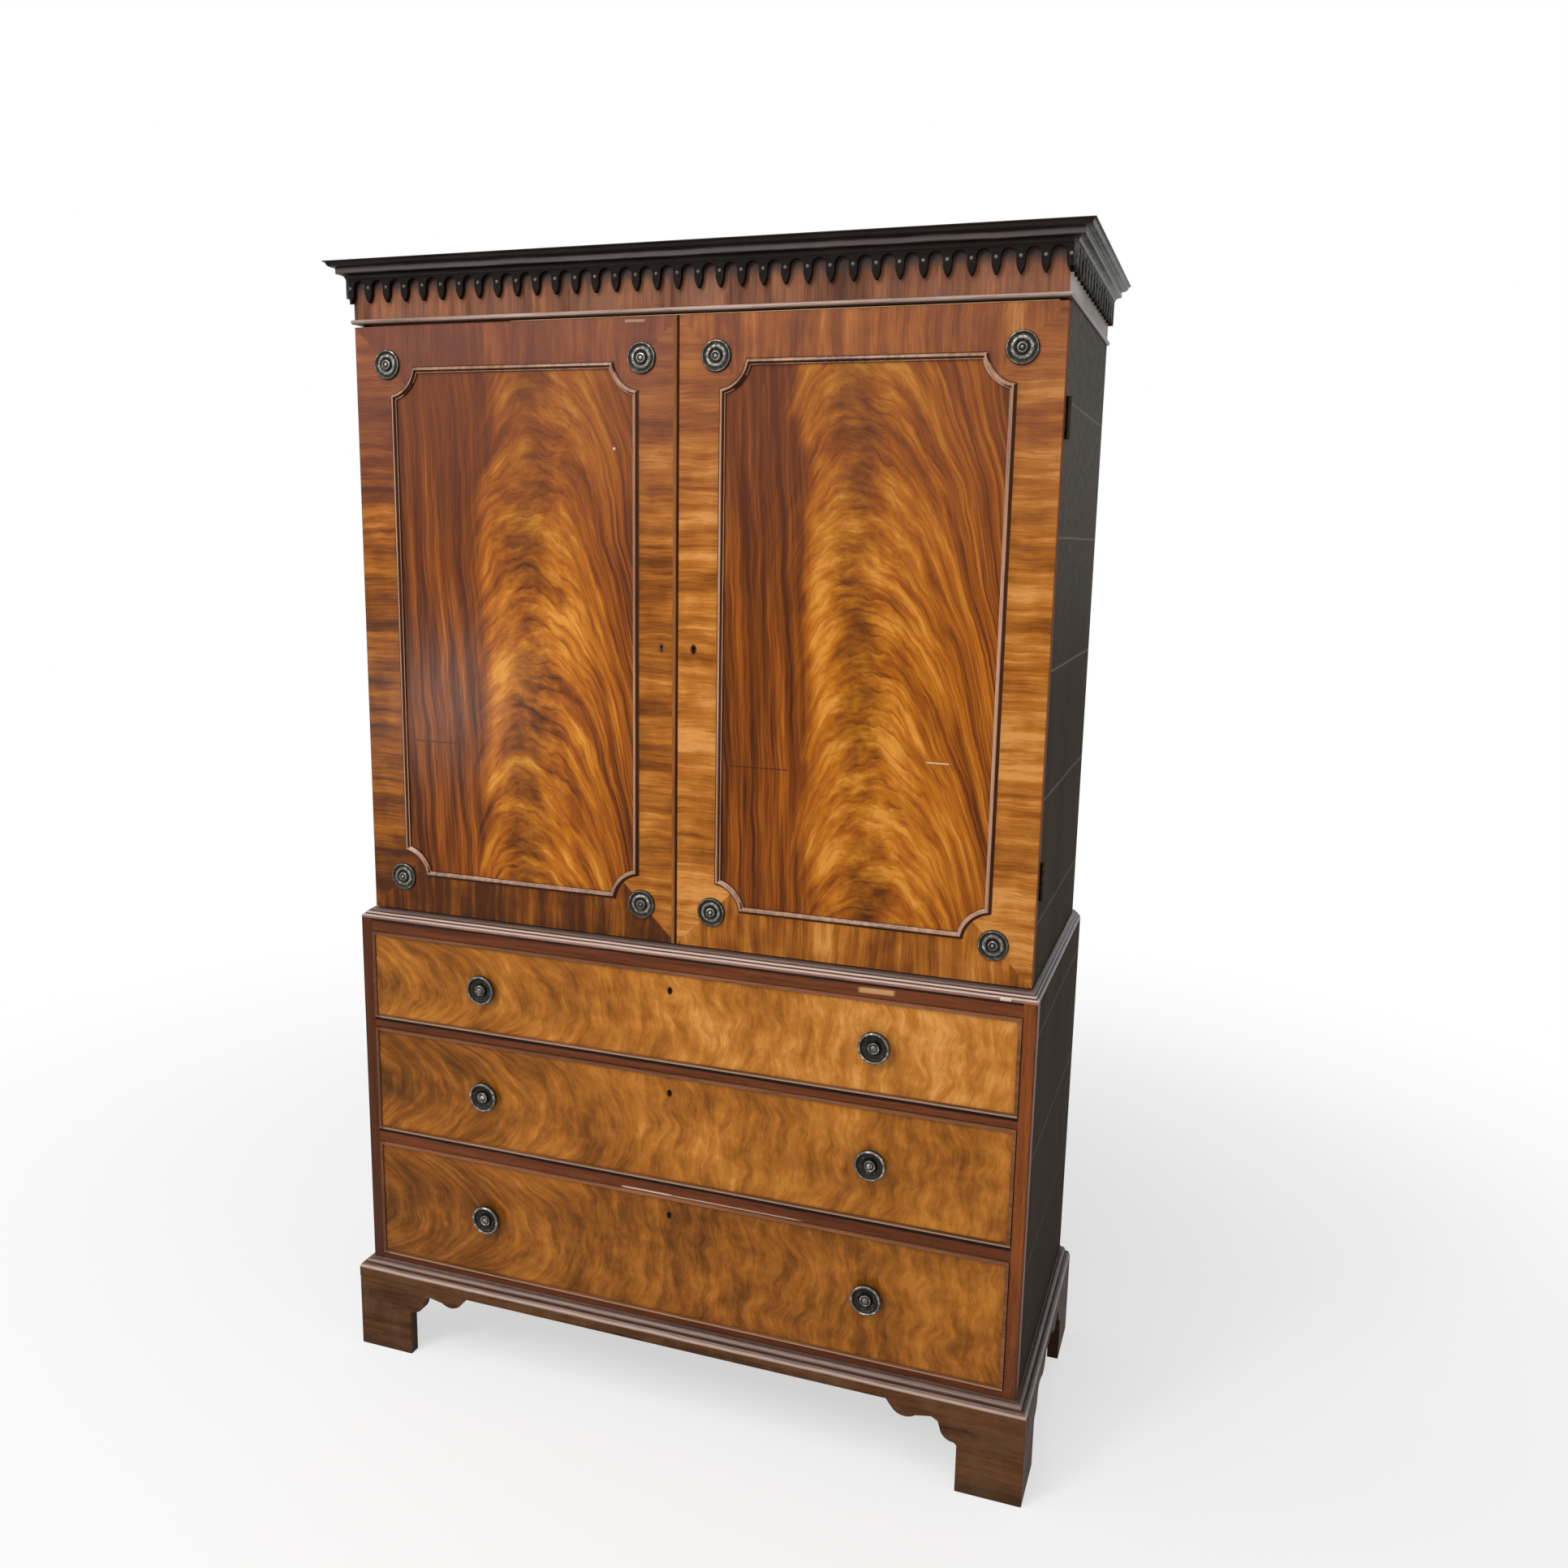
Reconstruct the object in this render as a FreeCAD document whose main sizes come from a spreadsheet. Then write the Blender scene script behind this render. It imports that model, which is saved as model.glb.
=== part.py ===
import FreeCAD, Part
import math
import os
import Sketcher

from FreeCAD import Vector

# A linen press: a lower case of three long drawers on bracket feet carries an upper case of
# five sliding trays behind two panelled doors, under an arcaded cornice.
# Millimetres.  +Z up, front faces -Y, origin at the middle of the floor under the whole piece.

DRIVING_SIZES = (
    # cases, seen from in front and from the side
    ("upper_width", 1270, "width of the door case"),
    ("case_step", 16, "drawer case beyond the door case, each side"),
    ("lower_depth", 548, "drawer front to back of case"),
    ("upper_setback", 26, "door face behind drawer face"),
    ("foot_height", 148, "floor to underside of base frame"),
    ("base_height", 38, "base frame, underside to case"),
    ("lower_board", 12.5, "bottom board of the drawer case"),
    ("bottom_drawer", 241.5, "opening of the bottom drawer"),
    ("lower_rail", 26, "rail over the bottom drawer"),
    ("middle_drawer", 213, "opening of the middle drawer"),
    ("upper_rail", 19.5, "rail over the middle drawer"),
    ("top_drawer", 174.5, "opening of the top drawer"),
    ("lower_top", 24.5, "top board of the drawer case"),
    ("waist_height", 16.5, "rise of the waist moulding"),
    ("upper_height", 1098.1, "door case, top of drawer case to its own top"),
    ("cornice_height", 104.4, "top of door case to top of cornice"),
    # boards
    ("side_thickness", 17, "case sides"),
    ("board_thickness", 20, "top and bottom boards of the door case"),
    ("back_thickness", 10, "back boards"),
    ("back_joint", 1, "gap between back boards"),
    ("stile_width", 23, "front stiles of the drawer case"),
    ("stile_depth", 22, "front stiles, front to back"),
    ("rail_depth", 60, "rails between drawers, front to back"),
    ("runner_width", 30, "drawer runners"),
    ("runner_height", 16, "drawer runners"),
    ("guide_height", 24, "drawer guides"),
    ("dust_thickness", 8, "dust boards"),
    ("dust_rise", 4, "dust board above underside of runner"),
    # mouldings
    ("base_reach", 21.5, "base frame beyond the case"),
    ("base_fascia", 19.5, "plain face of the base frame"),
    ("base_inset", 40, "base frame under the case"),
    ("crown_reach", 37, "cornice beyond the frieze"),
    ("crown_height", 28, "crown moulding"),
    ("bead_reach", 5, "frieze bead beyond the case"),
    ("bead_height", 8, "frieze bead"),
    ("frieze_thickness", 18, "boards of the cornice frame"),
    ("frieze_drop", 4, "cornice frame below top of crown"),
    ("arcade_height", 42, "arcaded strip"),
    ("arcade_thickness", 9, "arcaded strip"),
    ("arch_pitch", 36.5, "arch to arch, before fitting to the run"),
    ("arch_radius", 11.8, "half width of an arch"),
    ("arch_crown", 4, "strip over the top of an arch"),
    ("drop_height", 18, "pointed part of a pendant drop"),
    ("drop_point", 1, "half width of a drop at its point"),
    # bracket feet
    ("bracket_thickness", 22, "foot brackets"),
    ("foot_width", 117, "foot at the floor"),
    ("foot_reach", 246, "foot to the end of its scrolled wing"),
    ("block_size", 45, "glue block behind a foot"),
    ("block_lift", 3, "glue block above the floor"),
    # doors
    ("door_thickness", 24, "doors"),
    ("door_gap", 0.5, "between door and case"),
    ("meeting_gap", 2, "between the doors"),
    ("door_clearance", 1.5, "door above the waist moulding"),
    ("door_headroom", 4.6, "door below the frieze bead"),
    ("door_stile", 77.5, "door stiles"),
    ("door_rail", 76, "door rails"),
    ("panel_thickness", 10, "door panels"),
    ("panel_recess", 2, "panel behind the frame"),
    ("panel_tongue", 6, "panel edge in its groove"),
    ("panel_play", 0.5, "groove around the panel edge"),
    ("patera_inset_x", 66.5, "patera centre from the door's side edge"),
    ("patera_inset_z", 66, "patera centre from the door's end"),
    ("corner_radius", 57, "hollow corner around a patera"),
    ("astragal_width", 11, "moulding round the panel"),
    ("astragal_height", 6, "moulding round the panel"),
    ("patera_radius", 26, "turned patera"),
    ("patera_height", 8, "turned patera"),
    ("meeting_bead", 8, "bead on the left door"),
    # hinges
    ("hinge_height", 64, "butt hinge"),
    ("hinge_leaf", 15, "width of a leaf"),
    ("leaf_thickness", 2, "thickness of a leaf"),
    ("knuckle_radius", 4, "hinge knuckle"),
    ("knuckle_offset", 4.5, "hinge pin beyond the case side"),
    ("knuckle_gap", 0.4, "between knuckles"),
    ("pin_radius", 1.5, "hinge pin"),
    ("pin_clearance", 0.1, "radial clearance of the pin"),
    ("upper_hinge_drop", 168, "door top to the middle of the upper hinge"),
    ("lower_hinge_rise", 175, "door bottom to the middle of the lower hinge"),
    # drawers
    ("drawer_clearance", 1, "drawer in its opening, each side"),
    ("drawer_lift", 0.5, "drawer above its runner"),
    ("front_thickness", 20, "drawer fronts"),
    ("cockbead", 6, "thickness of the cockbead"),
    ("cockbead_reach", 3, "cockbead beyond the drawer front"),
    ("drawer_side", 10, "drawer sides and backs"),
    ("drawer_bottom", 6, "drawer bottoms"),
    ("bottom_rise", 8, "drawer bottom above the side's lower edge"),
    ("side_headroom", 6, "drawer side below the opening's top"),
    ("back_headroom", 12, "drawer back below the opening's top"),
    ("drawer_tail", 10, "free space behind a drawer"),
    # knobs
    ("knob_spread", 382, "knob centre from the middle"),
    ("knob_radius", 28.5, "knob"),
    ("knob_reach", 20, "knob beyond the drawer front"),
    ("knob_rise", 3, "knob centre above the middle of its drawer"),
    ("post_radius", 3, "threaded post of a knob"),
    ("post_clearance", 0.2, "post in its hole"),
    ("nut_radius", 7, "nut behind the drawer front"),
    ("nut_height", 5, "nut behind the drawer front"),
    ("post_tail", 8, "post behind the drawer front"),
    # locks
    ("lock_width", 60, "drawer lock"),
    ("lock_height", 50, "drawer lock"),
    ("lock_depth", 11, "drawer and door lock"),
    ("bolt_width", 24, "drawer lock bolt"),
    ("bolt_thickness", 4.4, "lock bolts"),
    ("bolt_length", 28, "lock bolts"),
    ("bolt_play", 0.4, "bolt in its slot"),
    ("bolt_wall", 3, "lock case in front of the bolt"),
    ("mortise_depth", 8, "mortise for a thrown bolt"),
    ("keyhole_drop", 35.5, "keyhole below the drawer opening's top"),
    ("keyhole_radius", 2.7, "round part of a keyhole"),
    ("keyhole_slot", 9, "keyhole below its round part"),
    ("door_lock_height", 80, "door lock"),
    ("door_lock_width", 55, "door lock"),
    ("door_lock_rise", 529.5, "door bottom to the door lock"),
    ("door_keyhole_inset", 29, "door keyhole from the meeting edge"),
    ("false_keyhole_depth", 5, "keyhole on the left door"),
    ("door_bolt_width", 20, "door lock bolt"),
    # bolts on the back of the left door
    ("rod_inset", 40, "bolt from the meeting edge"),
    ("rod_width", 8, "bolt rod"),
    ("rod_thickness", 6, "bolt rod"),
    ("rod_length", 100, "bolt rod"),
    ("rod_play", 0.4, "rod in its keepers"),
    ("rod_setback", 4, "rod and plate short of the case board"),
    ("plate_width", 24, "bolt plate"),
    ("plate_length", 120, "bolt plate"),
    ("plate_thickness", 2, "bolt plate"),
    ("keeper_height", 10, "keeper on the bolt plate"),
    ("keeper_wall", 2.5, "keeper on the bolt plate"),
    ("thumb_radius", 4, "thumb knob of the rod"),
    ("thumb_reach", 7.5, "thumb knob of the rod"),
    ("rod_mortise", 14, "mortise for a bolt rod"),
    # trays
    ("tray_rise", 121, "bottom of the door case to the lowest runner"),
    ("tray_top_room", 55, "free height over the top tray"),
    ("tray_runner_width", 14, "tray runners"),
    ("tray_runner_height", 14, "tray runners"),
    ("tray_height", 70, "tray sides"),
    ("tray_front", 45, "tray front"),
    ("tray_wall", 10, "tray sides, front and back"),
    ("tray_bottom", 8, "tray bottom"),
    ("tray_recess", 60, "tray front behind the case's front edge"),
    ("tray_tail", 3, "free space behind a tray"),
    ("tray_clearance", 1, "tray beside the case"),
    ("tray_lift", 0.5, "tray above its runner"),
)

BACK_BOARDS = 5
TRAYS = 5
RIGHT, LEFT = 1, -1
UPWARD, DOWNWARD = 1, -1

doc = FreeCAD.newDocument("LinenPress")
nodes = {}


# ---------------------------------------------------------------- sizes that stay parametric
class Size:
    """A length that carries its number and the sheet expression it comes from."""

    def __init__(self, text, value):
        self.text = text
        self.value = value

    def _with(self, other, sign, value):
        return Size("(%s %s %s)" % (self.text, sign, as_size(other).text), value)

    def __add__(self, other):
        return self._with(other, "+", self.value + as_size(other).value)

    def __sub__(self, other):
        return self._with(other, "-", self.value - as_size(other).value)

    def __mul__(self, other):
        return self._with(other, "*", self.value * as_size(other).value)

    def __truediv__(self, other):
        return self._with(other, "/", self.value / as_size(other).value)

    def __neg__(self):
        return Size("(0 - %s)" % self.text, -self.value)


def as_size(number):
    return number if isinstance(number, Size) else Size(str(number), float(number))


class Sheet:
    """The spreadsheet of driving sizes; each alias is read as an attribute."""

    def __init__(self, rows):
        sheet = doc.addObject("Spreadsheet::Sheet", "sizes")
        for row, (alias, value, meaning) in enumerate(rows, start=1):
            sheet.set("A%d" % row, meaning)
            sheet.set("B%d" % row, str(value))
            sheet.setAlias("B%d" % row, alias)
            setattr(self, alias, Size("sizes." + alias, float(value)))


ZERO = Size("0", 0.0)
d = Sheet(DRIVING_SIZES)
doc.recompute()


def bind(piece, path, size):
    piece.setExpression(path, as_size(size).text)


def mirrored_span(side, near, far):
    """The span from near to far on the right, or its mirror image on the left."""
    return (near, far) if side == RIGHT else (-far, -near)


def around(centre, half):
    return (centre - half, centre + half)


# ---------------------------------------------------------------- Part helpers
def board(name, x, y, z):
    """Rectangular board between the low and high plane given for each axis."""
    piece = doc.addObject("Part::Box", name)
    for prop, axis, (low, high) in zip(("Length", "Width", "Height"), "xyz", (x, y, z)):
        bind(piece, prop, as_size(high) - low)
        bind(piece, "Placement.Base." + axis, low)
    return piece


def rod(name, radius, length, start, direction):
    """Cylinder from a start point along a direction."""
    piece = doc.addObject("Part::Cylinder", name)
    turn = FreeCAD.Rotation(Vector(0, 0, 1), Vector(*direction))
    piece.Placement = FreeCAD.Placement(Vector(), turn)
    bind(piece, "Radius", radius)
    bind(piece, "Height", length)
    for axis, value in zip("xyz", start):
        bind(piece, "Placement.Base." + axis, value)
    return piece


def group(name, *pieces):
    """Separate solids kept together."""
    piece = doc.addObject("Part::Compound", name)
    piece.Links = list(pieces)
    return piece


def join(name, *pieces):
    piece = doc.addObject("Part::MultiFuse", name)
    piece.Shapes = list(pieces)
    return piece


def cut(name, base, *cutters):
    piece = doc.addObject("Part::Cut", name)
    piece.Base = base
    piece.Tool = cutters[0] if len(cutters) == 1 else join(name + "_cutters", *cutters)
    return piece


def common(name, first, second):
    piece = doc.addObject("Part::Common", name)
    piece.Base = first
    piece.Tool = second
    return piece


def mirror(name, source):
    """Mirror image across the middle plane of the press."""
    piece = doc.addObject("Part::Mirroring", name)
    piece.Source = source
    piece.Normal = Vector(1, 0, 0)
    return piece


def node(name, *pieces):
    """Record a finished sub-part, made of one solid or of several separate ones."""
    piece = pieces[0] if len(pieces) == 1 else group(name + "_set", *pieces)
    piece.Label = name
    nodes[name] = piece


# ---------------------------------------------------------------- PartDesign helpers
def attach(body, sketch, plane, offset):
    """Lay a sketch on an origin plane of its own body, moved along the plane's normal."""
    support = [p for p in body.Origin.OriginFeatures if p.Role == plane][0]
    sketch.AttachmentSupport = (support, [""])
    sketch.MapMode = "FlatFace"
    bind(sketch, "AttachmentOffset.Base.z", offset)


def arc_between(start, end, radius, left):
    """Counter-clockwise arc over a chord, its centre left or right of start to end."""
    chord = end - start
    half = chord.Length / 2
    rise = math.sqrt(max(radius * radius - half * half, 0.0))
    side = Vector(-chord.y, chord.x, 0).normalize() * (rise if left else -rise)
    centre = (start + end) * 0.5 + side
    first, last = (start, end) if left else (end, start)
    angles = [math.atan2(p.y - centre.y, p.x - centre.x) for p in (first, last)]
    circle = Part.Circle(centre, Vector(0, 0, 1), radius)
    return Part.ArcOfCircle(circle, angles[0], angles[1])


def pin_vertex(sketch, edge, end, point):
    """Hold a vertex at its two distances from the sketch's origin."""
    for kind, value in zip(("DistanceX", "DistanceY"), point):
        index = sketch.addConstraint(
            Sketcher.Constraint(kind, -1, 1, edge, end, value.value))
        bind(sketch, "Constraints[%d]" % index, value)


def outline(body, plane, points, offset=ZERO):
    """Closed outline; a point is (u, v), or (u, v, radius, left) where an arc leaves it."""
    sketch = body.newObject("Sketcher::SketchObject", body.Name + "_outline")
    attach(body, sketch, plane, offset)
    spots = [Vector(as_size(p[0]).value, as_size(p[1]).value, 0) for p in points]
    ends = []
    for i, point in enumerate(points):
        start, end = spots[i], spots[(i + 1) % len(spots)]
        curved = len(point) == 4
        left = curved and point[3]
        if curved:
            shape = arc_between(start, end, as_size(point[2]).value, left)
        else:
            shape = Part.LineSegment(start, end)
        edge = sketch.addGeometry(shape, False)
        ends.append((edge, 1, 2) if left or not curved else (edge, 2, 1))
    sketch.addConstraint([
        Sketcher.Constraint("Coincident", e[0], e[2], n[0], n[1])
        for e, n in zip(ends, ends[1:] + ends[:1])])
    for i, point in enumerate(points):
        pin_vertex(sketch, ends[i][0], ends[i][1], (as_size(point[0]), as_size(point[1])))
        if len(point) == 4:
            radius = as_size(point[2])
            index = sketch.addConstraint(
                Sketcher.Constraint("Radius", ends[i][0], radius.value))
            bind(sketch, "Constraints[%d]" % index, radius)
    return sketch


def new_body(name):
    return doc.addObject("PartDesign::Body", name)


def pad(body, sketch, length, both_ways=False):
    feature = body.newObject("PartDesign::Pad", body.Name + "_pad")
    feature.Profile = sketch
    feature.Midplane = both_ways
    bind(feature, "Length", length)
    return feature


def pocket(body, sketch, length):
    """Cut both ways from the sketch, so that the direction can't miss the solid."""
    feature = body.newObject("PartDesign::Pocket", body.Name + "_pocket")
    feature.Profile = sketch
    feature.Midplane = True
    bind(feature, "Length", length)
    return feature


def turned(name, profile, centre):
    """Turned piece: (radius, height out of the face) points, axis along -Y at the centre."""
    body = new_body(name)
    points = [(r, -as_size(h)) for r, h in profile]
    sketch = outline(body, "XY_Plane", points)
    feature = body.newObject("PartDesign::Revolution", name + "_turning")
    feature.Profile = sketch
    feature.ReferenceAxis = (sketch, ["V_Axis"])
    feature.Angle = 360
    for axis, value in zip("xyz", centre):
        bind(body, "Placement.Base." + axis, value)
    return body


# ---------------------------------------------------------------- planes of the press
upper_half = d.upper_width / 2
lower_half = upper_half + d.case_step
whole_depth = d.lower_depth + d.base_reach
back = whole_depth / 2
drawer_face = d.base_reach - back
door_face = drawer_face + d.upper_setback
door_back = door_face + d.door_thickness
case_front = door_back + d.door_gap
back_inside = back - d.back_thickness

base_z = d.foot_height
case_z = base_z + d.base_height
bottom_opening = case_z + d.lower_board
lower_rail_z = bottom_opening + d.bottom_drawer
middle_opening = lower_rail_z + d.lower_rail
upper_rail_z = middle_opening + d.middle_drawer
top_opening = upper_rail_z + d.upper_rail
lower_top_z = top_opening + d.top_drawer
waist_z = lower_top_z + d.lower_top
ledge_z = waist_z + d.waist_height
upper_top_z = waist_z + d.upper_height
crown_top_z = upper_top_z + d.cornice_height

opening_half = lower_half - d.stile_width
lower_inside = lower_half - d.side_thickness
upper_inside = upper_half - d.side_thickness

door_low = ledge_z + d.door_clearance
door_high = upper_top_z - d.door_headroom
door_inner = d.meeting_gap / 2
lock_z = door_low + d.door_lock_rise
hinge_heights = (door_low + d.lower_hinge_rise, door_high - d.upper_hinge_drop)

bolt_y = drawer_face + d.front_thickness - d.lock_depth + d.bolt_wall
door_bolt_y = door_back - d.lock_depth + d.bolt_wall
lower_shelf_z = waist_z + d.board_thickness
upper_shelf_z = upper_top_z - d.board_thickness
rod_x = -(door_inner + d.rod_inset)
rod_y = door_back + d.plate_thickness + d.rod_play

DRAWERS = (
    ("top_drawer", top_opening, lower_top_z),
    ("middle_drawer", middle_opening, upper_rail_z),
    ("bottom_drawer", bottom_opening, lower_rail_z),
)


# ---------------------------------------------------------------- mouldings on three sides
UNDER = "under the case"
MITRE_OVERRUN = 0.3  # the mitre's cut past the corner, as a share of its length


def round_radius(inwards, upwards):
    """Radius of an arc that leaves an upright face and ends that far inwards and upwards."""
    return (inwards * inwards + upwards * upwards) / (inwards * 2)


def mitred_runs(name, profile, face, outer, inset):
    """Front run and two returns of a moulding, mitred where they meet.

    profile: points (share of the reach, height, ...) from the case face outwards.
    face, outer: (x, y) of the case corner and of the moulding's corner.
    inset: how far the moulding goes under the case.
    """
    (face_x, face_y), (outer_x, outer_y) = face, outer
    inner_x, inner_y = face_x - inset, face_y + inset
    reach_x, reach_y = outer_x - face_x, face_y - outer_y
    far_x = outer_x + (outer_x - inner_x) * MITRE_OVERRUN
    far_y = outer_y + (outer_y - inner_y) * MITRE_OVERRUN

    front = new_body(name + "_front")
    points = [(place(face_y, -reach_y, inset, p[0]),) + flipped(p) for p in profile]
    pad(front, outline(front, "YZ_Plane", points), far_x * 2, both_ways=True)
    for side in (RIGHT, LEFT):
        corner = [(inner_x * side, inner_y), (far_x * side, far_y), (far_x * side, inner_y)]
        pocket(front, outline(front, "XY_Plane", corner), crown_top_z * 4)

    right = new_body(name + "_right")
    points = [(place(face_x, reach_x, -inset, p[0]),) + tuple(p[1:]) for p in profile]
    pad(right, outline(right, "XZ_Plane", points, -back), back - far_y)
    corner = [(inner_x, inner_y), (far_x, far_y), (inner_x, far_y)]
    pocket(right, outline(right, "XY_Plane", corner), crown_top_z * 4)
    return front, right, mirror(name + "_left", right)


def place(face, reach, inset, share):
    """Distance of a profile point: a share of the reach, or the inset under the case."""
    return face + inset if share == UNDER else face + reach * share


def flipped(point):
    """The rest of a profile point, its arc turned over for the mirrored direction."""
    return tuple(point[1:3]) + (not point[3],) if len(point) == 4 else tuple(point[1:])


def waist_moulding():
    """Two reeds round the top of the drawer case, and the ledge behind them."""
    rise = d.waist_height
    reed = round_radius(d.case_step * 0.28, rise * 0.4)
    profile = [(0, waist_z), (1, waist_z), (1, waist_z + rise * 0.1, reed, True),
               (0.72, waist_z + rise * 0.5), (0.66, waist_z + rise * 0.5, rise * 0.6, True),
               (0.2, waist_z + rise * 0.92), (0.16, ledge_z), (0, ledge_z)]
    runs = mitred_runs("waist", profile, (upper_half, door_face), (lower_half, drawer_face), ZERO)
    ledge = board("waist_ledge", (-upper_half, upper_half), (door_face, case_front),
                  (waist_z, ledge_z))
    node("waist_moulding", *runs, ledge)


def base_moulding():
    """Frame under the drawer case, its edge a plain fascia with two reeds over it."""
    fascia = base_z + d.base_fascia
    rise = d.base_height - d.base_fascia
    reed = round_radius(d.base_reach * 0.42, rise * 0.48)
    profile = [(UNDER, base_z), (1, base_z), (1, fascia, reed, True),
               (0.58, fascia + rise * 0.48), (0.52, fascia + rise * 0.48, rise * 0.42, True),
               (0.1, fascia + rise * 0.86), (0.06, case_z), (UNDER, case_z)]
    outer = (lower_half + d.base_reach, drawer_face - d.base_reach)
    node("base_moulding", *mitred_runs("base", profile, (lower_half, drawer_face), outer,
                                       d.base_inset))


def frieze_bead():
    """Half-round bead where the cornice meets the door case."""
    low, middle, high = (upper_top_z + d.bead_height * share for share in (0, 0.5, 1))
    nose = round_radius(d.bead_reach * 0.6, d.bead_height / 2)
    profile = [(0, low), (0.4, low, nose, True), (1, middle, nose, True), (0.4, high),
               (0, high)]
    outer = (upper_half + d.bead_reach, door_face - d.bead_reach)
    node("frieze_bead", *mitred_runs("bead", profile, (upper_half, door_face), outer, ZERO))


def crown_moulding():
    """Crown: hollow, plain band, ovolo and thin lip."""
    low, rise = crown_top_z - d.crown_height, d.crown_height
    profile = [(0, low), (0.27, low), (0.27, low + rise * 0.04, rise * 0.45, False),
               (0.54, low + rise * 0.27), (0.58, low + rise * 0.27),
               (0.58, low + rise * 0.62, rise * 0.45, True),
               (0.9, low + rise * 0.9), (1, low + rise * 0.93),
               (1, crown_top_z), (0, crown_top_z)]
    outer = (upper_half + d.crown_reach, door_face - d.crown_reach)
    node("crown_moulding", *mitred_runs("crown", profile, (upper_half, door_face), outer, ZERO))


def arch(centre, pitch, low, high):
    """Opening between two pendant drops: a pointed foot under a round-topped arch."""
    shoulder = low + d.drop_height
    spring = high - d.arch_crown - d.arch_radius
    half_foot = pitch / 2 - d.drop_point
    radius = d.arch_radius
    return [(centre - half_foot, low - d.arch_crown), (centre + half_foot, low - d.arch_crown),
            (centre + half_foot, low), (centre + radius, shoulder),
            (centre + radius, spring, radius, True), (centre, spring + radius, radius, True),
            (centre - radius, spring), (centre - radius, shoulder), (centre - half_foot, low)]


def arcaded_strip(name, plane, offset, low_end, high_end, first, run):
    """Thin strip with a row of arches; the row fits the run exactly."""
    high = crown_top_z - d.crown_height
    low = high - d.arcade_height
    count = max(int(run.value / d.arch_pitch.value), 1)
    pitch = run / count
    body = new_body(name)
    strip = [(low_end, low), (high_end, low), (high_end, high), (low_end, high)]
    pad(body, outline(body, plane, strip, offset), d.arcade_thickness)
    sketch = outline(body, plane, arch(first + pitch / 2, pitch, low, high), offset)
    hole = pocket(body, sketch, d.arcade_thickness * 4)
    row = body.newObject("PartDesign::LinearPattern", name + "_row")
    row.Originals = [hole]
    row.Direction = (sketch, ["H_Axis"])
    row.Occurrences = count
    bind(row, "Length", pitch * (count - 1))
    body.Tip = row
    return body


def arcade_moulding():
    """Arcade of pendant drops under the crown, on the front and both sides."""
    end = upper_half + d.arcade_thickness
    front = arcaded_strip("arcade_front", "XZ_Plane", -door_face, -end, end, -upper_half,
                          d.upper_width)
    right = arcaded_strip("arcade_right", "YZ_Plane", upper_half, door_face, back, door_face,
                          back - door_face)
    node("arcade_moulding", front, right, mirror("arcade_left", right))


def cornice_frame():
    """Box frame that lifts off with the cornice; its front board is the frieze."""
    inside = upper_half - d.frieze_thickness
    height = (upper_top_z, crown_top_z - d.frieze_drop)
    frieze = board("frieze_board", (-upper_half, upper_half),
                   (door_face, door_face + d.frieze_thickness), height)
    sides = [board("cornice_side_%d" % side, mirrored_span(side, inside, upper_half),
                   (door_face + d.frieze_thickness, back), height) for side in (RIGHT, LEFT)]
    rear = board("cornice_rear", (-inside, inside), (back - d.frieze_thickness, back), height)
    node("cornice_frame", frieze, *sides, rear)


# ---------------------------------------------------------------- bracket feet
def foot_outline(along, outward):
    """Bracket foot seen square on; along is its outer edge, outward +1 or -1 away from it."""
    top, wide, reach = d.foot_height, d.foot_width, d.foot_reach
    wing = reach - wide
    left = outward == DOWNWARD

    def at(run, height, *bend):
        return (along - run if left else along + run, height) + bend

    return [at(ZERO, ZERO), at(wide, ZERO), at(wide, top * 0.6),
            at(wide + wing * 0.04, top * 0.63, wing * 0.2, not left),
            at(wide + wing * 0.24, top * 0.78), at(wide + wing * 0.27, top * 0.86),
            at(wide + wing * 0.36, top * 0.9), at(wide + wing * 0.46, top * 0.885),
            at(wide + wing * 0.58, top * 0.865, wing * 0.24, not left),
            at(wide + wing * 0.88, top * 0.87), at(wide + wing * 0.94, top * 0.93),
            at(reach, top), at(ZERO, top)]


def front_foot():
    """Right front foot: two mitred brackets and the glue block behind them."""
    x, y = lower_half + d.base_reach, drawer_face - d.base_reach
    inner_x, inner_y = x - d.bracket_thickness, y + d.bracket_thickness
    front = new_body("foot_front_bracket")
    pad(front, outline(front, "XZ_Plane", foot_outline(x, DOWNWARD), -inner_y),
        d.bracket_thickness)
    mitre = [(inner_x, inner_y), (x, y), (x, inner_y)]
    pocket(front, outline(front, "XY_Plane", mitre), d.foot_height * 4)
    side = new_body("foot_side_bracket")
    pad(side, outline(side, "YZ_Plane", foot_outline(y, UPWARD), inner_x), d.bracket_thickness)
    mitre = [(inner_x, inner_y), (x, y), (inner_x, y)]
    pocket(side, outline(side, "XY_Plane", mitre), d.foot_height * 4)
    block = board("foot_block", (inner_x - d.block_size, inner_x),
                  (inner_y, inner_y + d.block_size), (d.block_lift, base_z))
    node("foot_front_right", front, side, block)
    node("foot_front_left", *(mirror(piece.Name + "_left", piece)
                              for piece in (front, side, block)))


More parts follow.
